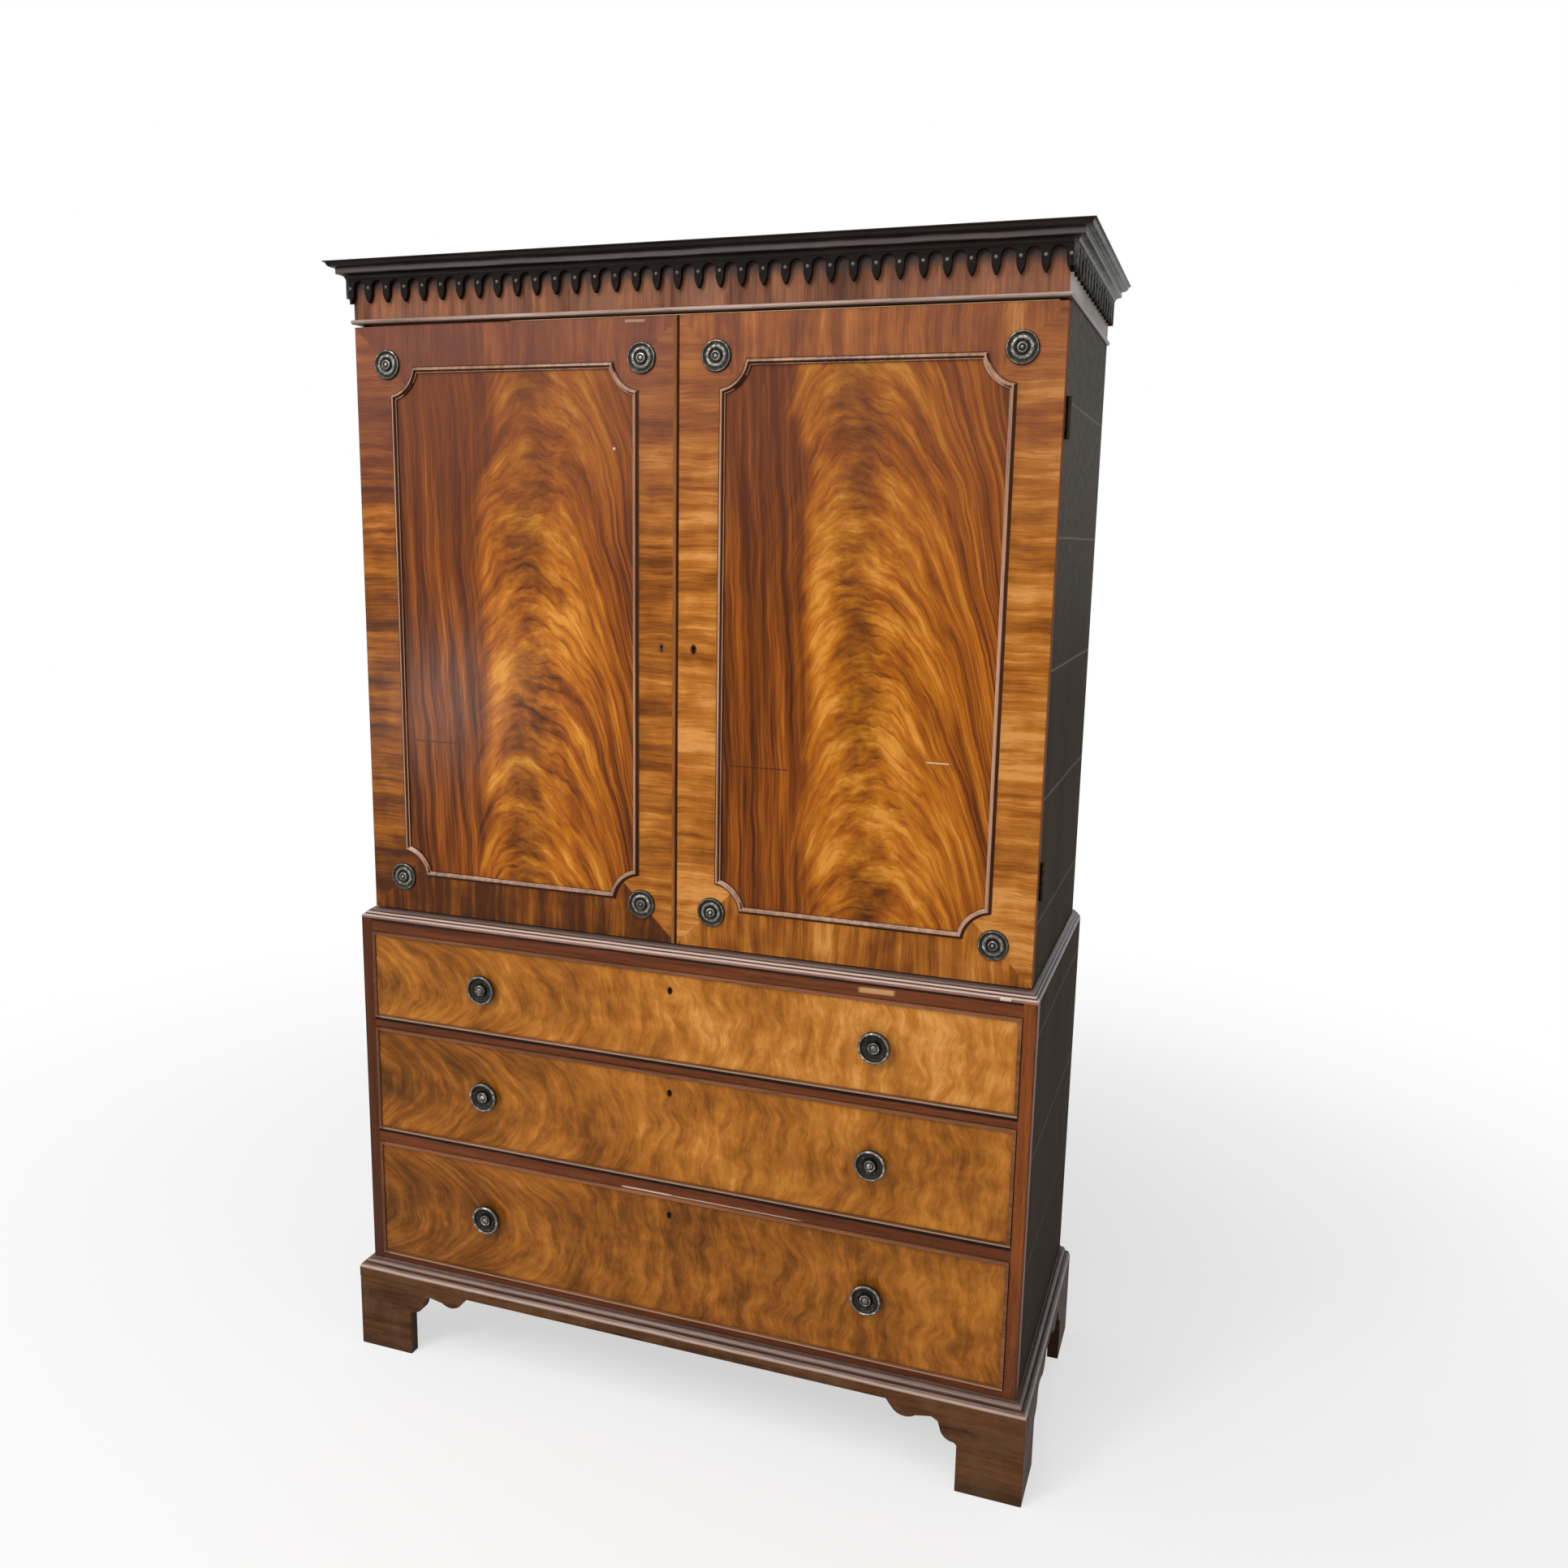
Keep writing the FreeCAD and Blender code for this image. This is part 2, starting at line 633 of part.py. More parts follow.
def rear_feet():
    """Rear feet: a scrolled side bracket, a plain back bracket and a glue block each."""
    x = lower_half + d.base_reach
    inner_x = x - d.bracket_thickness
    side = new_body("rear_side_bracket")
    pad(side, outline(side, "YZ_Plane", foot_outline(back, DOWNWARD), inner_x),
        d.bracket_thickness)
    plain = board("rear_back_bracket", (x - d.foot_width, inner_x),
                  (back - d.bracket_thickness, back), (ZERO, base_z))
    front_of_plain = back - d.bracket_thickness
    block = board("rear_block", (inner_x - d.block_size, inner_x),
                  (front_of_plain - d.block_size, front_of_plain), (d.block_lift, base_z))
    right = (side, plain, block)
    node("rear_feet", *right, *(mirror(piece.Name + "_left", piece) for piece in right))


# ---------------------------------------------------------------- drawer case
def back_boards(name, half, z):
    """Upright boards between the case sides."""
    pitch = (half * 2 + d.back_joint) / BACK_BOARDS
    lows = [pitch * i - half for i in range(BACK_BOARDS)]
    boards = [board("%s_%d" % (name, i + 1), (low, low + pitch - d.back_joint),
                    (back_inside, back), z) for i, low in enumerate(lows)]
    node(name, *boards)


def bolt_mortise(name, z, depth):
    """Cutter for the hole that a drawer's lock bolt is thrown up into."""
    half = d.bolt_width / 2 + d.bolt_play * 2
    y = (bolt_y - d.bolt_play * 2, bolt_y + d.bolt_thickness + d.bolt_play * 2)
    return board(name, (-half, half), y, (z, z + depth))


def cross_board(name, z):
    """Board between the case sides, with a tongue forward between the front stiles."""
    body = board(name + "_body", (-lower_inside, lower_inside),
                 (drawer_face + d.stile_depth, back_inside), z)
    nose = board(name + "_nose", (-opening_half, opening_half),
                 (drawer_face, drawer_face + d.stile_depth), z)
    return join(name + "_joined", body, nose)


def drawer_case():
    """Sides, top, bottom, front frame, back and the drawer supports."""
    for side, name in ((LEFT, "lower_side_left"), (RIGHT, "lower_side_right")):
        node(name, board(name + "_board", mirrored_span(side, lower_inside, lower_half),
                         (drawer_face + d.stile_depth, back), (case_z, waist_z)))
    top = cross_board("lower_top", (lower_top_z, waist_z))
    node("lower_top_board", cut("lower_top_cut", top,
                                bolt_mortise("top_mortise", lower_top_z, d.mortise_depth)))
    node("lower_bottom_board", cross_board("lower_bottom", (case_z, bottom_opening)))
    back_boards("lower_back_boards", lower_inside, (case_z, waist_z))

    stiles = [board("stile_%d" % side, mirrored_span(side, opening_half, lower_half),
                    (drawer_face, drawer_face + d.stile_depth), (case_z, waist_z))
              for side in (LEFT, RIGHT)]
    rails = []
    for name, low, high in (("upper_rail", upper_rail_z, top_opening),
                            ("lower_rail", lower_rail_z, middle_opening)):
        rail = board(name + "_board", (-opening_half, opening_half),
                     (drawer_face, drawer_face + d.rail_depth), (low, high))
        rails.append(cut(name + "_cut", rail,
                         bolt_mortise(name + "_mortise", low, d.mortise_depth)))
    node("drawer_front_frame", *stiles, *rails)


def drawer_supports():
    """Runners, guides and dust boards inside the drawer case."""
    pieces = []
    run = (drawer_face + d.rail_depth, back_inside)
    for level, (name, floor, _) in enumerate(DRAWERS):
        for side in (LEFT, RIGHT):
            pieces.append(board("guide_%d_%d" % (level, side),
                                mirrored_span(side, opening_half, lower_inside),
                                (drawer_face + d.stile_depth, back_inside),
                                (floor, floor + d.guide_height)))
        if floor is bottom_opening:
            continue
        inner = lower_inside - d.runner_width
        low = floor - d.runner_height
        for side in (LEFT, RIGHT):
            pieces.append(board("runner_%d_%d" % (level, side),
                                mirrored_span(side, inner, lower_inside), run, (low, floor)))
        dust = low + d.dust_rise
        pieces.append(board("dust_%d" % level, (-inner, inner), run,
                            (dust, dust + d.dust_thickness)))
    node("drawer_supports", *pieces)


# ---------------------------------------------------------------- door case
def rod_mortise(name, low, high):
    """Cutter for the hole that a door bolt is thrown into."""
    half = d.rod_width / 2 + d.rod_play * 2
    y = (rod_y - d.rod_play * 2, rod_y + d.rod_thickness + d.rod_play * 2)
    return board(name, around(rod_x, half), y, (low, high))


def door_case():
    """Sides with hinge recesses, top and bottom with bolt mortises, back boards."""
    for side, name in ((LEFT, "upper_side_left"), (RIGHT, "upper_side_right")):
        panel = board(name + "_board", mirrored_span(side, upper_inside, upper_half),
                      (case_front, back), (waist_z, upper_top_z))
        recesses = [board("%s_recess_%d" % (name, i),
                          mirrored_span(side, upper_half - d.hinge_leaf, upper_half),
                          (case_front, case_front + d.leaf_thickness),
                          around(z, d.hinge_height / 2)) for i, z in enumerate(hinge_heights)]
        node(name, cut(name + "_cut", panel, *recesses))
    across, deep = (-upper_inside, upper_inside), (case_front, back_inside)
    top = board("upper_top_panel", across, deep, (upper_shelf_z, upper_top_z))
    node("upper_top_board", cut("upper_top_cut", top, rod_mortise(
        "upper_top_mortise", upper_shelf_z, upper_shelf_z + d.rod_mortise)))
    bottom = board("upper_bottom_panel", across, deep, (waist_z, lower_shelf_z))
    node("upper_bottom_board", cut("upper_bottom_cut", bottom, rod_mortise(
        "upper_bottom_mortise", lower_shelf_z - d.rod_mortise, lower_shelf_z)))
    back_boards("upper_back_boards", upper_inside, (waist_z, upper_top_z))


def tray_level(index):
    """Top of a tray's runners; the levels share out the height of the door case."""
    top_level = upper_shelf_z - d.tray_top_room - d.tray_height - d.tray_lift
    lowest = waist_z + d.tray_rise
    return lowest + (top_level - lowest) * (index / (TRAYS - 1))


def tray_runners():
    """Battens on the case sides that the trays slide on."""
    pieces = []
    for index in range(TRAYS):
        level = tray_level(index)
        for side in (LEFT, RIGHT):
            pieces.append(board("tray_runner_%d_%d" % (index, side),
                                mirrored_span(side, upper_inside - d.tray_runner_width,
                                              upper_inside),
                                (case_front + d.tray_recess, back_inside),
                                (level - d.tray_runner_height, level)))
    node("tray_runners", *pieces)


def tray(index):
    """Open linen tray: low front, two sides, back and bottom."""
    name = "tray_%d" % (index + 1)
    half, wall = upper_inside - d.tray_clearance, d.tray_wall
    front, rear = case_front + d.tray_recess, back_inside - d.tray_tail
    low = tray_level(index) + d.tray_lift
    high, lip = low + d.tray_height, low + d.tray_front
    inside = (-(half - wall), half - wall)
    floor = low + d.tray_bottom
    sides = [board("%s_side_%d" % (name, side), mirrored_span(side, half - wall, half),
                   (front, rear), (low, high)) for side in (LEFT, RIGHT)]
    node(name, *sides,
         board(name + "_front", inside, (front, front + wall), (low, lip)),
         board(name + "_back", inside, (rear - wall, rear), (low, high)),
         board(name + "_bottom", inside, (front + wall, rear - wall), (low, floor)))


# ---------------------------------------------------------------- hinges
def hinge_parts(name, side, z, knuckles, leaf_y):
    """One hinge leaf with its knuckles, drilled for the pin.

    knuckles: (low, high) shares of the hinge height that belong to this leaf.
    leaf_y: front and back of the leaf.
    """
    pin_x = (upper_half + d.knuckle_offset) * side
    pin_y = door_back + d.door_gap / 2
    bottom = z - d.hinge_height / 2
    leaf = board(name + "_leaf", mirrored_span(side, upper_half - d.hinge_leaf, upper_half),
                 leaf_y, around(z, d.hinge_height / 2))
    parts = [leaf]
    for i, (low, high) in enumerate(knuckles):
        start = bottom + d.hinge_height * low + d.knuckle_gap * (0.5 if low else 0)
        end = bottom + d.hinge_height * high - d.knuckle_gap * (0.5 if high < 1 else 0)
        parts.append(rod("%s_knuckle_%d" % (name, i), d.knuckle_radius, end - start,
                         (pin_x, pin_y, start), (0, 0, 1)))
        parts.append(board("%s_tab_%d" % (name, i),
                           mirrored_span(side, upper_half, upper_half + d.knuckle_offset),
                           leaf_y, (start, end)))
    hole = rod(name + "_hole", d.pin_radius + d.pin_clearance, d.hinge_height * 2,
               (pin_x, pin_y, z - d.hinge_height), (0, 0, 1))
    return cut(name, join(name + "_whole", *parts), hole)


CASE_KNUCKLES = ((0, 0.3), (0.7, 1))
DOOR_KNUCKLES = ((0.3, 0.7),)


def hinges():
    """Leaves on the case and on each door, and the pins."""
    case_leaf = (case_front, case_front + d.leaf_thickness)
    door_leaf = (door_back - d.leaf_thickness, door_back)
    case_pieces = []
    for side, door in ((LEFT, "door_left"), (RIGHT, "door_right")):
        door_leaves = []
        for i, z in enumerate(hinge_heights):
            tag = "%s_hinge_%d" % (door, i)
            door_leaves.append(hinge_parts(tag, side, z, DOOR_KNUCKLES, door_leaf))
            case_pieces.append(hinge_parts(tag + "_case", side, z, CASE_KNUCKLES, case_leaf))
            case_pieces.append(rod(
                tag + "_pin", d.pin_radius, d.hinge_height,
                ((upper_half + d.knuckle_offset) * side, door_back + d.door_gap / 2,
                 z - d.hinge_height / 2), (0, 0, 1)))
        extras = bolt_plates() if side == LEFT else []
        node(door + ("_hinges_and_plates" if extras else "_hinges"), *door_leaves, *extras)
    node("case_hinges", *case_pieces)


# ---------------------------------------------------------------- bolts of the left door
def rod_end(way):
    """Height of the free end of a door bolt: just short of the case board."""
    return upper_shelf_z - d.rod_setback if way == UPWARD else lower_shelf_z + d.rod_setback


def bolt_plates():
    """Plate with two keepers for each bolt, on the back of the left door."""
    pieces = []
    for way in (UPWARD, DOWNWARD):
        tag = "bolt_plate_%s" % ("top" if way == UPWARD else "bottom")
        end = rod_end(way)

        def span(near, far):
            return (end - far, end - near) if way == UPWARD else (end + near, end + far)

        plate = board(tag, around(rod_x, d.plate_width / 2),
                      (door_back, door_back + d.plate_thickness), span(ZERO, d.plate_length))
        keeper_y = (door_back + d.plate_thickness,
                    rod_y + d.rod_thickness + d.rod_play + d.keeper_wall)
        half = d.rod_width / 2 + d.rod_play + d.keeper_wall
        starts = (d.keeper_height, d.rod_length - d.keeper_height * 2)
        keepers = [board("%s_keeper_%d" % (tag, i), around(rod_x, half), keeper_y,
                         span(start, start + d.keeper_height))
                   for i, start in enumerate(starts)]
        channel = board(tag + "_channel", around(rod_x, d.rod_width / 2 + d.rod_play),
                        (door_back + d.plate_thickness, rod_y + d.rod_thickness + d.rod_play),
                        span(-d.keeper_height, d.plate_length + d.keeper_height))
        pieces.append(cut(tag + "_cut", join(tag + "_joined", plate, *keepers), channel))
    return pieces


def door_bolts():
    """Sliding rods with a thumb knob, one up and one down."""
    for way, name in ((UPWARD, "door_left_top_bolt"), (DOWNWARD, "door_left_bottom_bolt")):
        end = rod_end(way)
        far = end - d.rod_length if way == UPWARD else end + d.rod_length
        z = (far, end) if way == UPWARD else (end, far)
        bar = board(name + "_bar", around(rod_x, d.rod_width / 2),
                    (rod_y, rod_y + d.rod_thickness), z)
        thumb = rod(name + "_thumb", d.thumb_radius, d.thumb_reach,
                    (rod_x, rod_y + d.rod_thickness, (end + far) / 2), (0, 1, 0))
        node(name, join(name + "_joined", bar, thumb))


# ---------------------------------------------------------------- doors
def keyhole(name, x, z, front, depth):
    """Cutter for a keyhole: a round top over a narrow slot."""
    eye = rod(name + "_eye", d.keyhole_radius, depth, (x, front, z), (0, 1, 0))
    slot = board(name + "_slot", around(x, d.keyhole_radius / 2), (front, front + depth),
                 (z - d.keyhole_slot, z))
    return join(name, eye, slot)


def corner_spots(side):
    """Centres of the four hollow corners of one door, with their directions inwards."""
    spots = []
    for x, inward_x in ((door_inner + d.patera_inset_x, 1),
                        (upper_half - d.patera_inset_x, -1)):
        for z, inward_z in ((door_low + d.patera_inset_z, 1),
                            (door_high - d.patera_inset_z, -1)):
            spots.append((x * side, z, inward_x * side, inward_z))
    return spots


def toward(start, direction, length):
    """Span of a length that leaves start in a direction."""
    return (start, start + length) if direction > 0 else (start - length, start)


def door_frame(side, door):
    """Stiles, rails and the flush corner pieces that surround the panel."""
    field = (door_inner + d.door_stile, upper_half - d.door_stile)
    field_z = (door_low + d.door_rail, door_high - d.door_rail)
    thick = (door_face, door_back)
    grip = d.panel_tongue + d.panel_play
    groove_y = (door_face + d.panel_recess,
                door_face + d.panel_recess + d.panel_thickness)

    def groove(tag):
        return board("%s_groove_%s" % (door, tag),
                     mirrored_span(side, field[0] - grip, field[1] + grip),
                     groove_y, (field_z[0] - grip, field_z[1] + grip))

    recesses = [board("%s_leaf_recess_%d" % (door, i),
                      mirrored_span(side, upper_half - d.hinge_leaf, upper_half),
                      (door_back - d.leaf_thickness, door_back),
                      around(z, d.hinge_height / 2)) for i, z in enumerate(hinge_heights)]
    key_x = (door_inner + d.door_keyhole_inset) * side
    if side == RIGHT:
        fittings = [keyhole(door + "_keyhole", key_x, lock_z, door_face, d.door_thickness),
                    door_lock_block(door + "_lock_recess")]
    else:
        fittings = [keyhole(door + "_keyhole", key_x, lock_z, door_face,
                            d.false_keyhole_depth), door_strike()]
    hanging = board(door + "_hanging_blank", mirrored_span(side, field[1], upper_half),
                    thick, (door_low, door_high))
    meeting = board(door + "_meeting_blank", mirrored_span(side, door_inner, field[0]),
                    thick, (door_low, door_high))
    pieces = [cut(door + "_hanging_stile", hanging, groove("hanging"), *recesses),
              cut(door + "_meeting_stile", meeting, groove("meeting"), *fittings)]
    for tag, z in (("bottom", (door_low, field_z[0])), ("top", (field_z[1], door_high))):
        blank = board("%s_%s_blank" % (door, tag), mirrored_span(side, *field), thick, z)
        pieces.append(cut("%s_%s_rail" % (door, tag), blank, groove(tag)))
    pieces += corner_pieces(side, door)
    node(door + "_frame", *pieces)


def corner_pieces(side, door):
    """Flush pieces that round the panel's corners inwards about each patera."""
    pieces = []
    flush = (door_face, door_face + d.panel_recess)
    for i, (x, z, inward_x, inward_z) in enumerate(corner_spots(side)):
        edge_x = x + (d.door_stile - d.patera_inset_x) * inward_x
        edge_z = z + (d.door_rail - d.patera_inset_z) * inward_z
        square = board("%s_corner_square_%d" % (door, i),
                       toward(edge_x, inward_x, d.corner_radius), flush,
                       toward(edge_z, inward_z, d.corner_radius))
        disc = rod("%s_corner_disc_%d" % (door, i), d.corner_radius, d.panel_recess * 3,
                   (x, door_face - d.panel_recess, z), (0, 1, 0))
        pieces.append(common("%s_corner_%d" % (door, i), square, disc))
    return pieces


def door_panel(side, door):
    field = (door_inner + d.door_stile - d.panel_tongue,
             upper_half - d.door_stile + d.panel_tongue)
    node(door + "_panel", board(
        door + "_panel_board", mirrored_span(side, *field),
        (door_face + d.panel_recess, door_face + d.panel_recess + d.panel_thickness),
        (door_low + d.door_rail - d.panel_tongue, door_high - d.door_rail + d.panel_tongue)))


def ring_path(body):
    """Line round the panel: straight runs that turn inwards about each corner's patera."""
    sketch = body.newObject("Sketcher::SketchObject", body.Name + "_path")
    attach(body, sketch, "XZ_Plane", -door_face)
    left, right = door_inner + d.door_stile, upper_half - d.door_stile
    low, high = door_low + d.door_rail, door_high - d.door_rail
    centres = [(door_inner + d.patera_inset_x, door_low + d.patera_inset_z),
               (upper_half - d.patera_inset_x, door_low + d.patera_inset_z),
               (upper_half - d.patera_inset_x, door_high - d.patera_inset_z),
               (door_inner + d.patera_inset_x, door_high - d.patera_inset_z)]
    radius = d.corner_radius.value
    dx, dz = d.door_stile.value - d.patera_inset_x.value, d.door_rail.value - d.patera_inset_z.value
    rise, run = math.sqrt(radius ** 2 - dx ** 2), math.sqrt(radius ** 2 - dz ** 2)
    middle = (low.value + high.value) / 2
    corners = []
    for (x, z), (sx, sz) in zip(centres, ((1, 1), (-1, 1), (-1, -1), (1, -1))):
        on_stile = Vector(x.value + sx * dx, z.value + sz * rise, 0)
        on_rail = Vector(x.value + sx * run, z.value + sz * dz, 0)
        corners.append((on_stile, on_rail) if sx == sz else (on_rail, on_stile))
    edges = [sketch.addGeometry(Part.LineSegment(
        Vector(left.value, middle, 0), corners[0][0]), False)]
    for i, (first, last) in enumerate(corners):
        edges.append(sketch.addGeometry(arc_between(first, last, radius, False), False))
        following = corners[i + 1][0] if i < 3 else Vector(left.value, middle, 0)
        edges.append(sketch.addGeometry(Part.LineSegment(last, following), False))
    hold_ring(sketch, edges, centres, (left, right, low, high))
    return sketch


def hold_ring(sketch, edges, centres, bounds):
    """Tie the ring's path to the sheet: centres, radii and the lines of its straight runs."""
    left, right, low, high = bounds
    is_arc = [i % 2 == 1 for i in range(len(edges))]
    joints = []
    for i, edge in enumerate(edges):
        after = (i + 1) % len(edges)
        joints.append(Sketcher.Constraint(
            "Coincident", edge, 1 if is_arc[i] else 2,
            edges[after], 2 if is_arc[after] else 1))
    for i, way in ((0, "Vertical"), (2, "Horizontal"), (4, "Vertical"), (6, "Horizontal"),
                   (8, "Vertical")):
        joints.append(Sketcher.Constraint(way, edges[i]))
    sketch.addConstraint(joints)
    for i, kind, size in ((2, "DistanceY", low), (4, "DistanceX", right),
                          (6, "DistanceY", high), (0, "DistanceX", left)):
        index = sketch.addConstraint(
            Sketcher.Constraint(kind, -1, 1, edges[i], 1, size.value))
        bind(sketch, "Constraints[%d]" % index, size)
    middle = (low + high) / 2
    index = sketch.addConstraint(
        Sketcher.Constraint("DistanceY", -1, 1, edges[0], 1, middle.value))
    bind(sketch, "Constraints[%d]" % index, middle)
    for i, centre in enumerate(centres):
        arc = edges[2 * i + 1]
        pin_vertex(sketch, arc, 3, centre)
        index = sketch.addConstraint(
            Sketcher.Constraint("Radius", arc, d.corner_radius.value))
        bind(sketch, "Constraints[%d]" % index, d.corner_radius)


def panel_ring():
    """Astragal round the right door's panel, stepped at its back over the flush frame."""
    body = new_body("door_right_ring")
    path = ring_path(body)
    x, half = door_inner + d.door_stile, d.astragal_width / 2
    foot = door_face - d.astragal_height * 0.2
    top = door_face - d.astragal_height
    bed = door_face + d.panel_recess
    section = [(x - half, door_face), (x, door_face), (x, bed), (x + half, bed),
               (x + half, foot)] + rounded_top(x, half, foot, top)
    profile = outline(body, "XY_Plane", section, (door_low + door_high) / 2)
    ring = body.newObject("PartDesign::AdditivePipe", "door_right_ring_sweep")
    ring.Profile = profile
    ring.Spine = path
    ring.Transition = "Right corner"
    return body


def rounded_top(x, half, foot, top):
    """Quirk, round and quirk across the top of the astragal, from the panel side."""
    quirk = half * 0.64
    radius = half * 0.72
    return [(x + quirk, foot, radius, False), (x, top, radius, False),
            (x - quirk, foot), (x - half, foot)]


def door_mouldings():
    """Panel rings of both doors, and the bead on the left door's meeting edge."""
    ring = panel_ring()
    node("door_right_moulding", ring)
    bead = new_body("meeting_bead_strip")
    edge = -door_inner
    chord = d.meeting_bead
    points = [(edge, door_face), (edge, door_face - chord * 0.1, chord * 0.6, False),
              (edge - chord, door_face - chord * 0.1), (edge - chord, door_face)]
    pad(bead, outline(bead, "XY_Plane", points, door_low), door_high - door_low)
    node("door_left_mouldings", mirror("door_left_ring", ring), bead)


# shares of the patera's radius and height, from its back round the rim to its centre boss
PATERA = ((0, 0), (1, 0), (1, 0.3), (0.9, 0.6), (0.78, 0.62), (0.7, 0.38), (0.62, 0.42),
          (0.56, 0.64), (0.48, 0.4), (0.36, 0.42), (0.32, 0.8), (0.2, 1), (0.1, 0.82),
          (0, 0.8))


def paterae(side, door):
    """Turned paterae in the four corners of a door."""
    profile = [(d.patera_radius * r, d.patera_height * h) for r, h in PATERA]
    pieces = [turned("%s_patera_%d" % (door, i), profile, (x, door_face, z))
              for i, (x, z, _, _) in enumerate(corner_spots(side))]
    node(door + "_paterae", *pieces)


# ---------------------------------------------------------------- door lock
def door_lock_block(name):
    """Block of the door lock's outer size, let into the back of the meeting stile."""
    return board(name, (door_inner, door_inner + d.door_lock_width),
                 (door_back - d.lock_depth, door_back),
                 around(lock_z, d.door_lock_height / 2))


def door_strike():
    """Cutter in the left door's edge that the thrown bolt enters."""
    play = d.bolt_play * 2
    return board("door_strike", (-(door_inner + d.mortise_depth + play), -door_inner),
                 (door_bolt_y - play, door_bolt_y + d.bolt_thickness + play),
                 around(lock_z, d.door_bolt_width / 2 + play))


def door_lock():
    """Lock case with its slot and keyhole, and the bolt that slides towards the left door."""
    play = d.bolt_play
    slot = board("door_lock_slot",
                 (door_inner, door_inner + d.bolt_length + d.bolt_wall),
                 (door_bolt_y - play, door_bolt_y + d.bolt_thickness + play),
                 around(lock_z, d.door_bolt_width / 2 + play))
    hole = keyhole("door_lock_keyhole", door_inner + d.door_keyhole_inset, lock_z,
                   door_back - d.lock_depth, d.bolt_wall - play * 2)
    node("door_right_lock", cut("door_lock_cut", door_lock_block("door_lock_case"),
                                slot, hole))
    node("door_right_lock_bolt", board(
        "door_lock_bolt_bar", (door_inner + play, door_inner + d.bolt_length),
        (door_bolt_y, door_bolt_y + d.bolt_thickness),
        around(lock_z, d.door_bolt_width / 2)))


# ---------------------------------------------------------------- drawers
def knob_spots(low, high):
    """Centres of the two knobs of a drawer whose opening runs from low to high."""
    z = (low + high) / 2 + d.knob_rise
    return ((-d.knob_spread, z), (d.knob_spread, z))


# shares of the knob's radius and reach, from its foot round the rim to its centre button
KNOB = ((0.42, 0), (0.42, 0.1), (0.34, 0.18), (0.34, 0.28), (0.6, 0.34), (0.94, 0.42),
        (1, 0.52), (1, 0.72), (0.94, 0.86), (0.87, 0.88), (0.78, 0.72), (0.68, 0.62),
        (0.46, 0.6), (0.36, 0.66), (0.3, 0.88), (0.16, 1), (0, 1))


def drawer_knobs(name, low, high):
    """Turned knobs with a post through the front and a nut behind it."""
    tail = d.front_thickness + d.post_tail
    shank = [(ZERO, -tail), (d.post_radius, -tail), (d.post_radius, ZERO)]
    profile = shank + [(d.knob_radius * r, d.knob_reach * h) for r, h in KNOB]
    pieces = []
    for i, (x, height) in enumerate(knob_spots(low, high)):
        tag = "%s_knob_%d" % (name, i)
        pieces.append(turned(tag, profile, (x, drawer_face, height)))
        behind = (x, drawer_face + d.front_thickness, height)
        nut = rod(tag + "_nut_blank", d.nut_radius, d.nut_height, behind, (0, 1, 0))
        bore = rod(tag + "_nut_bore", d.post_radius + d.pin_clearance, d.nut_height * 2,
                   behind, (0, 1, 0))
        pieces.append(cut(tag + "_nut", nut, bore))
    node(name + "_knobs", *pieces)


def drawer_front(name, low, high):
    """Veneered front with its keyhole, knob holes and lock recess."""
    edge = d.drawer_clearance + d.cockbead
    half = opening_half - edge
    top = high - edge
    blank = board(name + "_front_blank", (-half, half),
                  (drawer_face, drawer_face + d.front_thickness), (low + edge, top))
    holes = [rod("%s_post_hole_%d" % (name, i), d.post_radius + d.post_clearance,
                 d.front_thickness, (x, drawer_face, z), (0, 1, 0))
             for i, (x, z) in enumerate(knob_spots(low, high))]
    recess = drawer_lock_block(name + "_lock_recess", top)
    key = keyhole(name + "_keyhole", ZERO, high - d.keyhole_drop, drawer_face,
                  d.front_thickness)
    node(name + "_front", cut(name + "_front_cut", blank, recess, key, *holes))


def drawer_lock_block(name, top):
    """Block of a drawer lock's outer size, let into the back of the front."""
    return board(name, around(ZERO, d.lock_width / 2),
                 (drawer_face + d.front_thickness - d.lock_depth,
                  drawer_face + d.front_thickness), (top - d.lock_height, top))


def drawer_lock(name, high):
    """Lock case with slot and keyhole, and the bolt that is thrown upwards."""
    top = high - d.drawer_clearance - d.cockbead
    play = d.bolt_play
    slot = board(name + "_lock_slot", around(ZERO, d.bolt_width / 2 + play),
                 (bolt_y - play, bolt_y + d.bolt_thickness + play),
                 (top - d.bolt_length - play, top))
    hole = keyhole(name + "_lock_keyhole", ZERO, high - d.keyhole_drop,
                   drawer_face + d.front_thickness - d.lock_depth, d.bolt_wall - play * 2)
    node(name + "_lock", cut(name + "_lock_cut", drawer_lock_block(name + "_lock_case", top),
                             slot, hole))
    node(name + "_lock_bolt", board(
        name + "_bolt_bar", around(ZERO, d.bolt_width / 2),
        (bolt_y, bolt_y + d.bolt_thickness), (top - d.bolt_length, top)))


